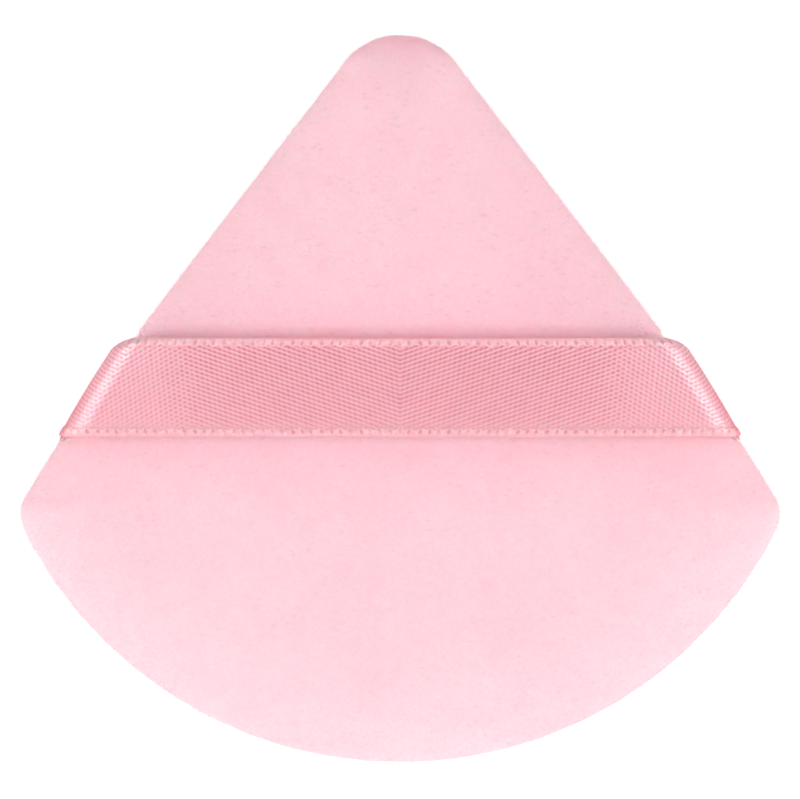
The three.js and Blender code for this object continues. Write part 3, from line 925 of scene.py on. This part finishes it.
def pile_tree():
    """Tufts of pile scattered evenly over a panel, each leaning its own way."""
    tree, given, result = geometry_tree("Velour pile", [
        ("Density", FLOAT), ("Length", FLOAT), ("Radius", FLOAT), ("Lean", FLOAT),
        ("Seed", INTEGER), ("Material", MATERIAL),
    ])
    scatter = add(
        tree, "GeometryNodeDistributePointsOnFaces", Mesh=given["Geometry"],
        Density=given["Density"], Seed=given["Seed"],
    )
    tuft = add(
        tree, "GeometryNodeMeshCone", {"fill_type": "NONE"}, Vertices=3, Side_Segments=1,
        Radius_Top=0.0, Radius_Bottom=given["Radius"], Depth=given["Length"],
    )
    height = split(tree, add(tree, "GeometryNodeInputPosition"))[2]
    marked = stored(tree, "tip", height / given["Length"], tuft, "POINT")
    lean = Value(tree, given["Lean"])
    low = add(tree, "ShaderNodeCombineXYZ", X=lean * -1.0, Y=lean * -1.0)
    high = add(tree, "ShaderNodeCombineXYZ", X=lean, Y=lean, Z=2 * math.pi)
    leaning = add(
        tree, "FunctionNodeRandomValue", {"data_type": "FLOAT_VECTOR"},
        Min=low, Max=high, Seed=given["Seed"],
    )
    aim = add(
        tree, "FunctionNodeRotateRotation", {"rotation_space": "LOCAL"},
        Rotation=scatter.outputs["Rotation"],
        Rotate_By=add(tree, "FunctionNodeEulerToRotation", Euler=leaning),
    )
    planted = add(
        tree, "GeometryNodeInstanceOnPoints", Points=scatter.outputs["Points"],
        Instance=marked, Rotation=aim, Scale=random_number(tree, *TUFT_SIZES),
    )
    toned = stored(tree, "tone", random_number(tree, 0.0, 1.0), planted, "INSTANCE")
    real = add(tree, "GeometryNodeRealizeInstances", Geometry=toned)
    place = add(tree, "GeometryNodeInputPosition")
    plan = vector_node(tree, "MULTIPLY_ADD", place, PLAN_SCALE, PLAN_MIDDLE)
    mapped = stored(tree, "OFBake", plan, real, "CORNER", "FLOAT2")
    finish_tree(tree, mapped, given["Material"], result)
    return tree


# Foam and thread

FOAM_CELLS = 2200.0
FOAM_PORE, FOAM_WALL = (0.78, 0.7, 0.6), (0.93, 0.88, 0.8)
FOAM_MERGE, THREAD_MERGE = 0.01 * MM, 0.002 * MM
FOAM_EASE = 2
THREAD_PLIES = 2600.0
THREAD_DEEP, THREAD_PALE = (0.8, 0.4, 0.47), (0.95, 0.6, 0.66)
THREAD_NODES = {
    "seam_needle_thread": "seam_needle_yarn",
    "seam_bobbin_thread": "seam_bobbin_yarn",
    "closing_thread": "closing_yarn",
    "left_ribbon_tack": "left_ribbon_tack_yarn",
    "right_ribbon_tack": "right_ribbon_tack_yarn",
}


def foam_material():
    """Open-celled foam: pale, with fine pores."""
    material, tree, shader = new_material("foam", 0.92, Specular_IOR_Level=0.2)
    place = object_place(tree)
    cells = Value(tree, add(tree, "ShaderNodeTexVoronoi", Vector=place, Scale=FOAM_CELLS))
    wall = cells.ramp(0.1, 0.6)
    feed(tree, mixed(tree, wall, FOAM_PORE, FOAM_WALL), shader.inputs["Base Color"])
    bumped(tree, shader, wall, 0.2 * MM, 0.6)
    return material


def thread_material():
    """Spun thread: fine slanting plies on a soft sheen."""
    material, tree, shader = new_material("thread", 0.6, Sheen_Weight=0.2)
    plies = add(
        tree, "ShaderNodeTexWave", {"bands_direction": "DIAGONAL"},
        Vector=object_place(tree), Scale=THREAD_PLIES, Distortion=1.5,
    ).outputs["Fac"]
    feed(tree, mixed(tree, plies, THREAD_DEEP, THREAD_PALE), shader.inputs["Base Color"])
    bumped(tree, shader, plies, 0.03 * MM)
    return material


class PUFF_OT_foam(bpy.types.Operator):
    """Make the foam core inside the covers"""

    bl_idname = "puff.foam"
    bl_label = "Foam core"

    def execute(self, context):
        core = merged_copy("foam_core", "foam_pad", FOAM_MERGE)
        subdivide(core, "SIMPLE")
        smooth(core, FOAM_EASE)
        apply_modifiers(core)
        dress(core, foam_material())
        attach(core, "pad")
        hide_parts("foam_core")
        return {"FINISHED"}


class PUFF_OT_threads(bpy.types.Operator):
    """Finish the sewing threads inside the seam"""

    bl_idname = "puff.threads"
    bl_label = "Threads"

    def execute(self, context):
        spun = thread_material()
        for node, name in THREAD_NODES.items():
            yarn = merged_copy(node, name, THREAD_MERGE)
            subdivide(yarn)
            apply_modifiers(yarn)
            dress(yarn, spun)
            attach(yarn, "pad")
            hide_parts(node)
        return {"FINISHED"}


# Ribbon

FACE_COLUMNS, FACE_ROWS = 800, 96
RIM_SHARE = 4
TAIL_MARGIN = 0.5 * MM
# Shapes of the ribbon's climb from the seam and its bend
ROUND = 0.5523
BEND_DROP = 1.15
LEAVE, CLIMB = 0.8, 0.6
CURVE_STEPS = 60
# The satin: where its lines turn over, in millimetres from the middle, how far each column
# stands past the last, in rows, and the slope of the columns
FLIP_START, FLIP_END = 19.0, 26.5
SATIN_STEP = 0.4
COLUMN_LEAN = 0.1
# Steps that tell the floats apart, and that turn a loop's number into its luck
COLUMN_MARK, LANE_MARK = 7.31, 3.17
LUCK_STEP, LUCK_SPREAD = 12.9898, 437.585
# Strands of the selvedge and the paler satin by its base edge, in millimetres, and its pale
# lumps on each millimetre
STRAND_PITCH, BASE_PALING, LUMPS = 0.26, 2.4, 1.9
FULL_TURN = 2 * math.pi
SHARP_EDGE = math.radians(60)


def bezier(*corners):
    """Points along a cubic curve."""
    t = np.linspace(0, 1, CURVE_STEPS)[:, None]
    shares = np.hstack([(1 - t) ** 3, 3 * t * (1 - t) ** 2, 3 * t**2 * (1 - t), t**3])
    return shares @ np.array(corners)


def warp_line(ribbon, pad, edge, y):
    """The right half of a warp line, from its tail in the seam to the middle of the span."""
    lean = (y - STRAP_MIDDLE) / STRAP_HALF
    width = half_width_at(edge, y)
    slope = 1 / math.cos(pad.apex_angle / 2)
    top = STRAP_HIGH.z - ribbon.thickness / 2
    curl = max(0.0, (y - STRAP_MIDDLE - STRAP_HALF + ribbon.curl_width) / ribbon.curl_width)
    outermost = width + ribbon.slant * lean - ribbon.curl * curl**2
    fold = np.array([width - pad.wall * slope, SEAM_HEIGHT])
    tail = np.array([width - (pad.wall + pad.allowance - TAIL_MARGIN) * slope, SEAM_HEIGHT])
    shoulder = np.array([outermost - ribbon.shoulder, top - ribbon.bow])
    steepness = 2 * ribbon.bow / shoulder[0]
    drop = BEND_DROP * ribbon.shoulder
    side = np.array([outermost, shoulder[1] - drop])
    leave = fold + [LEAVE * (outermost - fold[0]), 0]
    rise = bezier(fold, leave, side - [0, CLIMB * (side[1] - SEAM_HEIGHT)], side)
    level = shoulder + ROUND * ribbon.shoulder * np.array([1, -steepness])
    bend = bezier(side, side + [0, ROUND * drop], level, shoulder)
    x = np.linspace(shoulder[0], 0, CURVE_STEPS)[1:]
    span = np.column_stack([x, top - ribbon.bow * (x / shoulder[0]) ** 2])
    return np.vstack([tail, rise, bend[1:], span])


def ribbon_grid(ribbon, pad, columns, rows):
    """Grids over the ribbon's middle surface: its points, its weave coordinates in
    millimetres, and how far it has turned down, from 0 at the shoulder to 1 at the seam."""
    edge = outline(pad)
    shoulder = STRAP_HIGH.z - ribbon.thickness / 2 - ribbon.bow
    places, weave = [], []
    for y in np.linspace(STRAP_LOW.y, STRAP_HIGH.y, rows + 1):
        right = warp_line(ribbon, pad, edge, y)
        whole = np.vstack([right[:-1] * [-1, 1], right[::-1]])
        steps = np.linalg.norm(np.diff(whole, axis=0), axis=1)
        along = np.concatenate([[0], np.cumsum(steps)])
        want = np.linspace(0, along[-1], columns + 1)
        x, z = (np.interp(want, along, whole[:, a]) for a in (0, 1))
        across = np.full(len(x), y)
        places.append(np.column_stack([x, across, z]))
        weave.append(np.column_stack([want - along[-1] / 2, across - STRAP_MIDDLE]) / MM)
    places = np.array(places)
    turned = np.clip((shoulder - places[:, :, 2]) / (shoulder - SEAM_HEIGHT), 0, 1)
    return places, np.array(weave), turned


def ribbon_face(ribbon, pad, columns, rows, side):
    """One face of the ribbon, half its thickness off its middle surface."""
    places, weave, turned = ribbon_grid(ribbon, pad, columns, rows)
    normal = np.cross(np.gradient(places, axis=1), np.gradient(places, axis=0))
    normal /= np.linalg.norm(normal, axis=2, keepdims=True)
    return places + side * normal * ribbon.thickness / 2, weave, turned


def quads(index):
    """The four corners of each cell of a grid of point numbers."""
    corners = (index[:-1, :-1], index[:-1, 1:], index[1:, 1:], index[1:, :-1])
    return np.stack(corners, -1).reshape(-1, 4)


def border(index):
    """The points round a grid, once round from its first corner."""
    return np.concatenate([index[0, :-1], index[:-1, -1], index[-1, :0:-1], index[:0:-1, 0]])


def ribbon_mesh(ribbon, pad):
    """A closed ribbon with its weave map: a fine upper face, a coarser under face, and a
    narrow rim between them."""
    over = ribbon_face(ribbon, pad, FACE_COLUMNS, FACE_ROWS, 1)
    under = ribbon_face(ribbon, pad, FACE_COLUMNS // RIM_SHARE, FACE_ROWS // RIM_SHARE, -1)
    top = np.arange(over[2].size).reshape(over[2].shape)
    low = np.arange(under[2].size).reshape(under[2].shape) + over[2].size
    faces = quads(top).tolist() + quads(low)[:, ::-1].tolist()
    fine, coarse = border(top), border(low)
    for i in range(len(coarse)):
        run = [int(fine[(i * RIM_SHARE + k) % len(fine)]) for k in range(RIM_SHARE + 1)]
        faces.append([int(coarse[i]), int(coarse[(i + 1) % len(coarse)]), *run[::-1]])
    points, weave, turned = (
        np.concatenate([a.reshape(top.size, -1), b.reshape(low.size, -1)])
        for a, b in zip(over, under)
    )
    mesh = bpy.data.meshes.new("ribbon")
    mesh.from_pydata(points.tolist(), [], faces)
    mesh.validate()
    layer = mesh.uv_layers.new(name="Weave")
    corner = np.empty(len(mesh.loops), np.int32)
    mesh.loops.foreach_get("vertex_index", corner)
    layer.uv.foreach_set("vector", weave[corner].astype(np.float32).ravel())
    woven = np.repeat([1.0, 0.0], [top.size, low.size])
    for name, values in (("turned", turned), ("woven", woven)):
        layer = mesh.attributes.new(name, "FLOAT", "POINT")
        layer.data.foreach_set("value", values.astype(np.float32).ravel())
    return mesh


def satin(u, v, turned, ribbon):
    """The satin at u along and v across the ribbon, in millimetres: how deep in a dash between
    floats, how high on a float, which is also where its painted highlight lies, and a number for
    each float. Each column of floats stands two fifths of a row past the one before. The dashes
    lean with that step near the middle and where the ribbon is turned down, and against it
    between, so that their lines turn over."""
    half = STRAP_HALF / MM
    far = abs(u)
    away = (far - v * COLUMN_LEAN) / (ribbon.column / MM)
    number = away.math("FLOOR")
    along = away - number - 0.5
    flipped = far.ramp(FLIP_START, FLIP_END) * turned.ramp(0.0, 0.03, 1.0, 0.0)
    lane = v / (ribbon.row / MM) - number * SATIN_STEP - along * (SATIN_STEP - flipped)
    across = abs(lane.math("FRACT") - 0.5)
    knot = (along * FULL_TURN).math("COSINE")
    parted = flipped * 0.26 + 0.24
    beaded = knot * parted + (1.0 - parted)
    strength = v.ramp(-half, half, 0.8, 1.1) * (1.0 - flipped * 0.25)
    # Fainter dashes where the ribbon turns down: partly a painted highlight on the bend, and
    # shallower relief there
    strength = strength * turned.ramp(0.0, 0.04, 1.0, 0.65)
    dash = across.ramp(0.08, 0.4, 1.0, 0.0) * (beaded * strength)
    # Highest on the middle of each float: real relief, and where the painted highlight lies
    crest_and_highlight = across.ramp(0.22, 0.46) * (0.7 - knot * 0.3)
    return dash, crest_and_highlight, number * COLUMN_MARK + lane.math("FLOOR") * LANE_MARK


def weave_pattern(u, v, turned, ribbon):
    """The whole weave at a place: the satin, and the loops, holes and strands of the selvedge,
    whose inner line sways and whose loops each have their own luck."""
    dash, crest_and_highlight, cell = satin(u, v, turned, ribbon)
    bound = ribbon.selvedge / MM
    out = abs(v) - (STRAP_HALF / MM - bound)
    share = (out - 0.5 * bound) / (0.6 * bound)
    sway = (u * 1.9).math("SINE") * 0.09
    tilt = share * u.math("SIGN") * 0.12
    turn = u / (ribbon.bead / MM) + (sway + tilt)
    luck = ((turn.math("ROUND") * LUCK_STEP).math("SINE") * LUCK_SPREAD).math("FRACT")
    past = out + ((turn * FULL_TURN).math("COSINE") * 0.09 + (u * 2.9).math("SINE") * 0.06)
    edge = past.ramp(-0.07, 0.07)
    satin_share = 1.0 - edge
    under = abs(past + 0.1).ramp(0.02, 0.14, 1.0, 0.0) * (luck * 0.5 + 0.2)

    loop = abs(turn.math("FRACT") - 0.5)
    gap = loop.ramp(0.32, 0.48)
    aside = ((0.5 - loop) / 0.22) ** 2.0
    inward = ((out - (luck * 0.16 + 0.24)) / 0.26) ** 2.0
    pit = (aside + inward).ramp(0.05, 1.3, 1.0, 0.0) * (luck * 0.55 + 0.45)
    hole = pit.math("MAXIMUM", gap * 0.35)
    arch = (1.0 - share**2.0).math("MAXIMUM", 0.0).math("SQRT")
    return {
        "dash": dash.math("MAXIMUM", under) * satin_share,
        "crest_and_highlight": crest_and_highlight * satin_share,
        "cell": cell,
        "edge": edge,
        "loop": arch * (1.0 - hole * 0.8) * edge,
        "hole": hole,
        "luck": luck,
        "strand": ((u + out * 0.5) * (FULL_TURN / STRAND_PITCH)).math("COSINE"),
        # Painted shade along the outer rim of each bound edge
        "rim": out.ramp(bound - 0.2, bound - 0.05),
        "scallop": (gap * -0.5 - 0.4) * (edge * v.math("SIGN")),
    }


def weave_tree(ribbon):
    """Raises the floats and selvedge loops of the weave out of a plain ribbon."""
    tree, given, result = geometry_tree("Ribbon weave", [
        ("Relief", FLOAT), ("Loop height", FLOAT), ("Material", MATERIAL),
    ])

    def carried(name, kind="FLOAT"):
        return add(tree, "GeometryNodeInputNamedAttribute", {"data_type": kind}, Name=name)

    u, v, _ = split(tree, carried("Weave", "FLOAT_VECTOR"))
    pattern = weave_pattern(u, v, Value(tree, carried("turned")), ribbon)
    woven = Value(tree, carried("woven"))
    floats = pattern["crest_and_highlight"] * 0.4 - pattern["dash"]
    height = (floats * given["Relief"] + pattern["loop"] * given["Loop height"]) * woven
    raised = add(
        tree, "ShaderNodeVectorMath", {"operation": "SCALE"},
        Vector=add(tree, "GeometryNodeInputNormal"), Scale=height,
    )
    outward = pattern["scallop"] * woven * given["Loop height"]
    offset = vector_node(tree, "ADD", raised, add(tree, "ShaderNodeCombineXYZ", Y=outward))
    moved = add(tree, "GeometryNodeSetPosition", Geometry=given["Geometry"], Offset=offset)
    finish_tree(tree, moved, given["Material"], result)
    return tree


def ribbon_material(ribbon):
    """Satin ribbon: floats with a painted highlight on their crests, darker dashes between them,
    paler bound edges with painted shade along their outer rims, and painted shade where it turns
    down to the seam, deepest by its base edge. Light passes a little way through it."""
    material, tree, shader = new_material(
        "ribbon satin", 0.3, Specular_IOR_Level=0.45, Subsurface_Weight=0.8,
        Subsurface_Radius=(1.0, 0.2, 0.25), Subsurface_Scale=0.8 * MM,
    )
    half = STRAP_HALF / MM
    weave = add(tree, "ShaderNodeUVMap", {"uv_map": "Weave"})
    u, v, _ = split(tree, weave)
    turned = attribute(tree, "turned")
    pattern = weave_pattern(u, v, turned, ribbon)
    dice = add(tree, "ShaderNodeTexWhiteNoise", {"noise_dimensions": "1D"}, W=pattern["cell"])
    chance = Value(tree, dice.outputs["Value"])
    # Painted highlight on the floats' crests
    body = mixed(tree, pattern["crest_and_highlight"] * (1.0 - chance * 0.4), ribbon.face, ribbon.crest_and_highlight)
    body = mixed(tree, pattern["dash"] * (chance * 0.3 + 0.7), body, ribbon.dash)
    body = mixed(tree, v.ramp(-half, BASE_PALING - half, 0.7, 0.0), body, ribbon.edge)
    bound = mixed(tree, pattern["strand"] * 0.08 + 0.08, ribbon.edge, ribbon.face)
    pale = noise(tree, weave, LUMPS).ramp(0.4, 0.6) * (1.0 - pattern["luck"] * 0.5)
    bound = mixed(tree, pale, bound, ribbon.loop)
    bound = mixed(tree, pattern["hole"] * 0.75, bound, ribbon.dash)
    # Painted shade along the selvedge's outer rim
    bound = mixed(tree, pattern["rim"] * 0.5, bound, ribbon.face)
    cloth = mixed(tree, pattern["edge"], body, bound)
    # Painted shade where the ribbon turns down to the seam, deepest by its base edge
    deep = turned.ramp(0.07, 0.18) * v.ramp(-half, half, 0.65, 0.35)
    feed(tree, mixed(tree, deep, cloth, ribbon.fold), shader.inputs["Base Color"])
    dull = pattern["dash"].math("MAXIMUM", pattern["edge"] * 0.6) * 0.3
    feed(tree, dull.math("MAXIMUM", deep * 0.6) + 0.27, shader.inputs["Roughness"])
    bumped(tree, shader, pattern["loop"] - pattern["dash"], 0.03 * MM, 0.35)
    return material


# Yarn ends at the ribbon's base corners

YARN_RADIUS = 0.065 * MM
YARN_SIDES, YARN_POINTS = 5, 6
YARN_THINNING = 0.6
YARN_STREAKS = 5200.0
YARN_SEED = 5
# Ranges for each end, in millimetres: its root in from the outline and up from the ribbon's
# edge, and its reach. Then, in radians, where it points and how far it bends.
YARN_IN, YARN_UP, YARN_REACH = (0.2, 1.3), (0.0, 0.5), (0.5, 1.1)
YARN_AIM, YARN_BEND = (-0.2, 0.9), (-0.6, 0.6)
# Height of a root over the seam and of the arch past it, in millimetres, and the arch's turn
YARN_HEIGHT, YARN_ARCH, YARN_TURN = 1.2, 0.8, 2.2


def fray_material(ribbon):
    """Loose ribbon yarn: a deeper pink, streaked along its plies."""
    material, tree, shader = new_material("ribbon yarn", 0.55, Sheen_Weight=0.2)
    streak = noise(tree, object_place(tree), YARN_STREAKS)
    deep = [(a + b) / 2 for a, b in zip(ribbon.fold, ribbon.face)]
    feed(tree, mixed(tree, streak, deep, ribbon.face), shader.inputs["Base Color"])
    bumped(tree, shader, streak, 0.02 * MM)
    return material


def tube(bm, path):
    """A round yarn along a path, thinning to its end, closed at both."""
    rings = []
    for i, point in enumerate(path):
        ahead = path[min(i + 1, len(path) - 1)] - path[max(i - 1, 0)]
        across = ahead.orthogonal().normalized()
        other = ahead.cross(across).normalized()
        radius = YARN_RADIUS * (1 - YARN_THINNING * i / (len(path) - 1))
        ring = []
        for k in range(YARN_SIDES):
            turn = FULL_TURN * k / YARN_SIDES
            around = across * math.cos(turn) + other * math.sin(turn)
            ring.append(bm.verts.new(point + radius * around))
        rings.append(ring)
    for low, high in zip(rings, rings[1:]):
        for k in range(YARN_SIDES):
            j = (k + 1) % YARN_SIDES
            bm.faces.new((low[k], low[j], high[j], high[k]))
    bm.faces.new(rings[0][::-1])
    bm.faces.new(rings[-1])


def frayed_ends(pad, count):
    """Short yarn ends at the ribbon's base edge, where it leaves the seam on each side."""
    chance = np.random.RandomState(YARN_SEED)
    width = half_width_at(outline(pad), STRAP_LOW.y)
    bm = bmesh.new()
    for side in (-1, 1):
        for _ in range(count):
            start_x = width - chance.uniform(*YARN_IN) * MM
            start_y = STRAP_LOW.y + chance.uniform(*YARN_UP) * MM
            start_aim = chance.uniform(*YARN_AIM)
            reach = chance.uniform(*YARN_REACH) * MM
            bend = chance.uniform(*YARN_BEND)
            path = []
            for t in np.linspace(0, 1, YARN_POINTS):
                aim = start_aim + bend * t
                x = start_x + reach * t * math.sin(aim)
                y = start_y - reach * t * math.cos(aim)
                z = SEAM_HEIGHT + (YARN_HEIGHT + YARN_ARCH * math.sin(YARN_TURN * t)) * MM
                path.append(Vector((side * x, y, z)))
            tube(bm, path)
    bmesh.ops.recalc_face_normals(bm, faces=bm.faces)
    return object_from(mesh_from(bm, "fray"), "ribbon_fray")


class PUFF_OT_ribbon(bpy.types.Operator):
    """Make the woven ribbon strap"""

    bl_idname = "puff.ribbon"
    bl_label = "Ribbon strap"

    def execute(self, context):
        ribbon, pad = context.scene.puff_ribbon, context.scene.puff_pad
        strap = object_from(ribbon_mesh(ribbon, pad), "ribbon")
        run_tree(
            strap, weave_tree(ribbon), Relief=ribbon.relief, Loop_height=ribbon.bead_height,
            Material=ribbon_material(ribbon),
        )
        strap.data.shade_smooth()
        strap.data.set_sharp_from_angle(angle=SHARP_EDGE)
        fringe = frayed_ends(pad, ribbon.fray)
        fringe.data.materials.append(fray_material(ribbon))
        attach(fringe, "pad")
        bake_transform(strap)
        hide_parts("ribbon_strap")
        weave = ribbon_grid(ribbon, pad, FACE_COLUMNS, FACE_ROWS)[1]
        return {"FINISHED"}


# Stage

FLOOR_HALF, FLOOR_DROP = 0.35, 0.1 * MM
PAPER, PAPER_GLOW = (0.82, 0.82, 0.82), 0.45
SENSOR_WIDTH = 36.0
WHITE, WARM = (1.0, 1.0, 1.0), (1.0, 1.0, 0.92)
# Lamps: place, width and height, colour, and the height that each is aimed at
FRONT_LAMP = ((0.0, -0.7, 0.2), (0.8, 0.1), WARM, 0.0)
PAIRED_LAMPS = {
    "key": ((0.42, -0.05, 0.8), (0.3, 0.3), WHITE, 0.0),
    "corner": ((0.6, -0.36, 0.09), (0.4, 0.14), WARM, 0.0),
    "side": ((0.6, 0.07, 0.35), (0.4, 0.3), WHITE, 0.0),
    "glint": ((0.3, 0.21, 0.28), (0.2, 0.46), WHITE, 0.28),
}


def seen_white(tree, dark, lit):
    """A shader that is lit for the camera, in reflections and through clear things, and dark
    for other rays."""
    rays = add(tree, "ShaderNodeLightPath").outputs
    seen = Value(tree, rays["Is Camera Ray"])
    for kind in ("Is Glossy Ray", "Is Transmission Ray"):
        seen = seen.math("MAXIMUM", rays[kind])
    mix = add(tree, "ShaderNodeMixShader", Fac=seen)
    feed(tree, dark, mix.inputs[1])
    feed(tree, lit, mix.inputs[2])
    return mix


def floor_material():
    """White paper that the camera sees as white, with the puff's shadow kept."""
    material, tree, shader = new_material(
        "floor", 0.9, Specular_IOR_Level=0.0, Base_Color=PAPER,
    )
    both = tree.nodes.new("ShaderNodeAddShader")
    feed(tree, shader, both.inputs[0])
    feed(tree, add(tree, "ShaderNodeEmission", Strength=PAPER_GLOW), both.inputs[1])
    output = tree.nodes["Material Output"]
    feed(tree, seen_white(tree, shader, both), output.inputs["Surface"])
    return material


def area_lamp(name, power, place, size, tint, aim):
    """A lamp that faces the middle line at a height."""
    data = bpy.data.lights.new(name, "AREA")
    data.shape = "RECTANGLE"
    data.size, data.size_y = size
    data.energy = power
    data.color = tint
    lamp = bpy.data.objects.new(name, data)
    lamp.location = place
    ahead = Vector((0, 0, aim)) - Vector(place)
    lamp.rotation_euler = ahead.to_track_quat("-Z", "Y").to_euler()
    bpy.context.scene.collection.objects.link(lamp)
    return lamp


class PUFF_OT_stage(bpy.types.Operator):
    """Make the floor, the lamps and the camera"""

    bl_idname = "puff.stage"
    bl_label = "Stage"

    def execute(self, context):
        scene, stage = context.scene, context.scene.puff_stage
        bm = bmesh.new()
        bmesh.ops.create_grid(bm, x_segments=1, y_segments=1, size=FLOOR_HALF)
        mesh = mesh_from(bm, "floor")
        mesh.transform(Matrix.Translation((0, 0, CAD_LOW.z - FLOOR_DROP)))
        floor = object_from(mesh, "floor")
        mesh.materials.append(floor_material())

        world = bpy.data.worlds.new("studio")
        scene.world = world
        world.use_nodes = True
        tree = world.node_tree
        soft = tree.nodes["Background"]
        feed(tree, stage.ambient, soft.inputs["Strength"])
        feed(tree, WHITE, soft.inputs["Color"])
        white = add(tree, "ShaderNodeBackground", Color=WHITE, Strength=1.0)
        feed(tree, seen_white(tree, soft, white), tree.nodes["World Output"].inputs["Surface"])

        area_lamp("front", stage.front, *FRONT_LAMP)
        for side in (-1, 1):
            for name, ((x, y, z), *rest) in PAIRED_LAMPS.items():
                lamp = area_lamp(name, getattr(stage, name), (side * x, y, z), *rest)
                lamp.visible_diffuse = name != "glint"

        data = bpy.data.cameras.new("camera")
        data.sensor_width = SENSOR_WIDTH
        data.lens = SENSOR_WIDTH * stage.distance / stage.picture
        data.clip_start, data.clip_end = 0.01, 20.0
        camera = bpy.data.objects.new("camera", data)
        camera.location = (0, -stage.drop, SEAM_HEIGHT + stage.distance)
        scene.collection.objects.link(camera)
        scene.camera = camera
        scene.view_settings.view_transform = "Standard"
        return {"FINISHED"}


# Add-on

SETTINGS = {
    "puff_pad": PadSettings,
    "puff_velour": VelourSettings,
    "puff_ribbon": RibbonSettings,
    "puff_stage": StageSettings,
}
OPERATORS = (
    PUFF_OT_stage, PUFF_OT_back_panel, PUFF_OT_front_panel,
    PUFF_OT_foam, PUFF_OT_ribbon, PUFF_OT_threads,
)


class PUFF_PT_sidebar(bpy.types.Panel):
    """The puff's pieces and sizes"""

    bl_idname = "PUFF_PT_sidebar"
    bl_label = "Powder puff"
    bl_space_type = "VIEW_3D"
    bl_region_type = "UI"
    bl_category = "Puff"

    def draw(self, context):
        layout = self.layout
        for operator in OPERATORS:
            layout.operator(operator.bl_idname)
        for group, kind in SETTINGS.items():
            box = layout.box()
            for key in kind.__annotations__:
                box.prop(getattr(context.scene, group), key)


def register():
    for kind in (*SETTINGS.values(), *OPERATORS, PUFF_PT_sidebar):
        bpy.utils.register_class(kind)
    for name, kind in SETTINGS.items():
        setattr(bpy.types.Scene, name, PointerProperty(type=kind))


def unregister():
    for name in SETTINGS:
        delattr(bpy.types.Scene, name)
    for kind in (PUFF_PT_sidebar, *reversed(OPERATORS), *reversed(SETTINGS.values())):
        bpy.utils.unregister_class(kind)


def main():
    register()
    bpy.ops.puff.stage()
    bpy.ops.puff.back_panel()
    bpy.ops.puff.front_panel()
    bpy.ops.puff.foam()
    bpy.ops.puff.ribbon()
    bpy.ops.puff.threads()


if __name__ == "__main__":
    main()
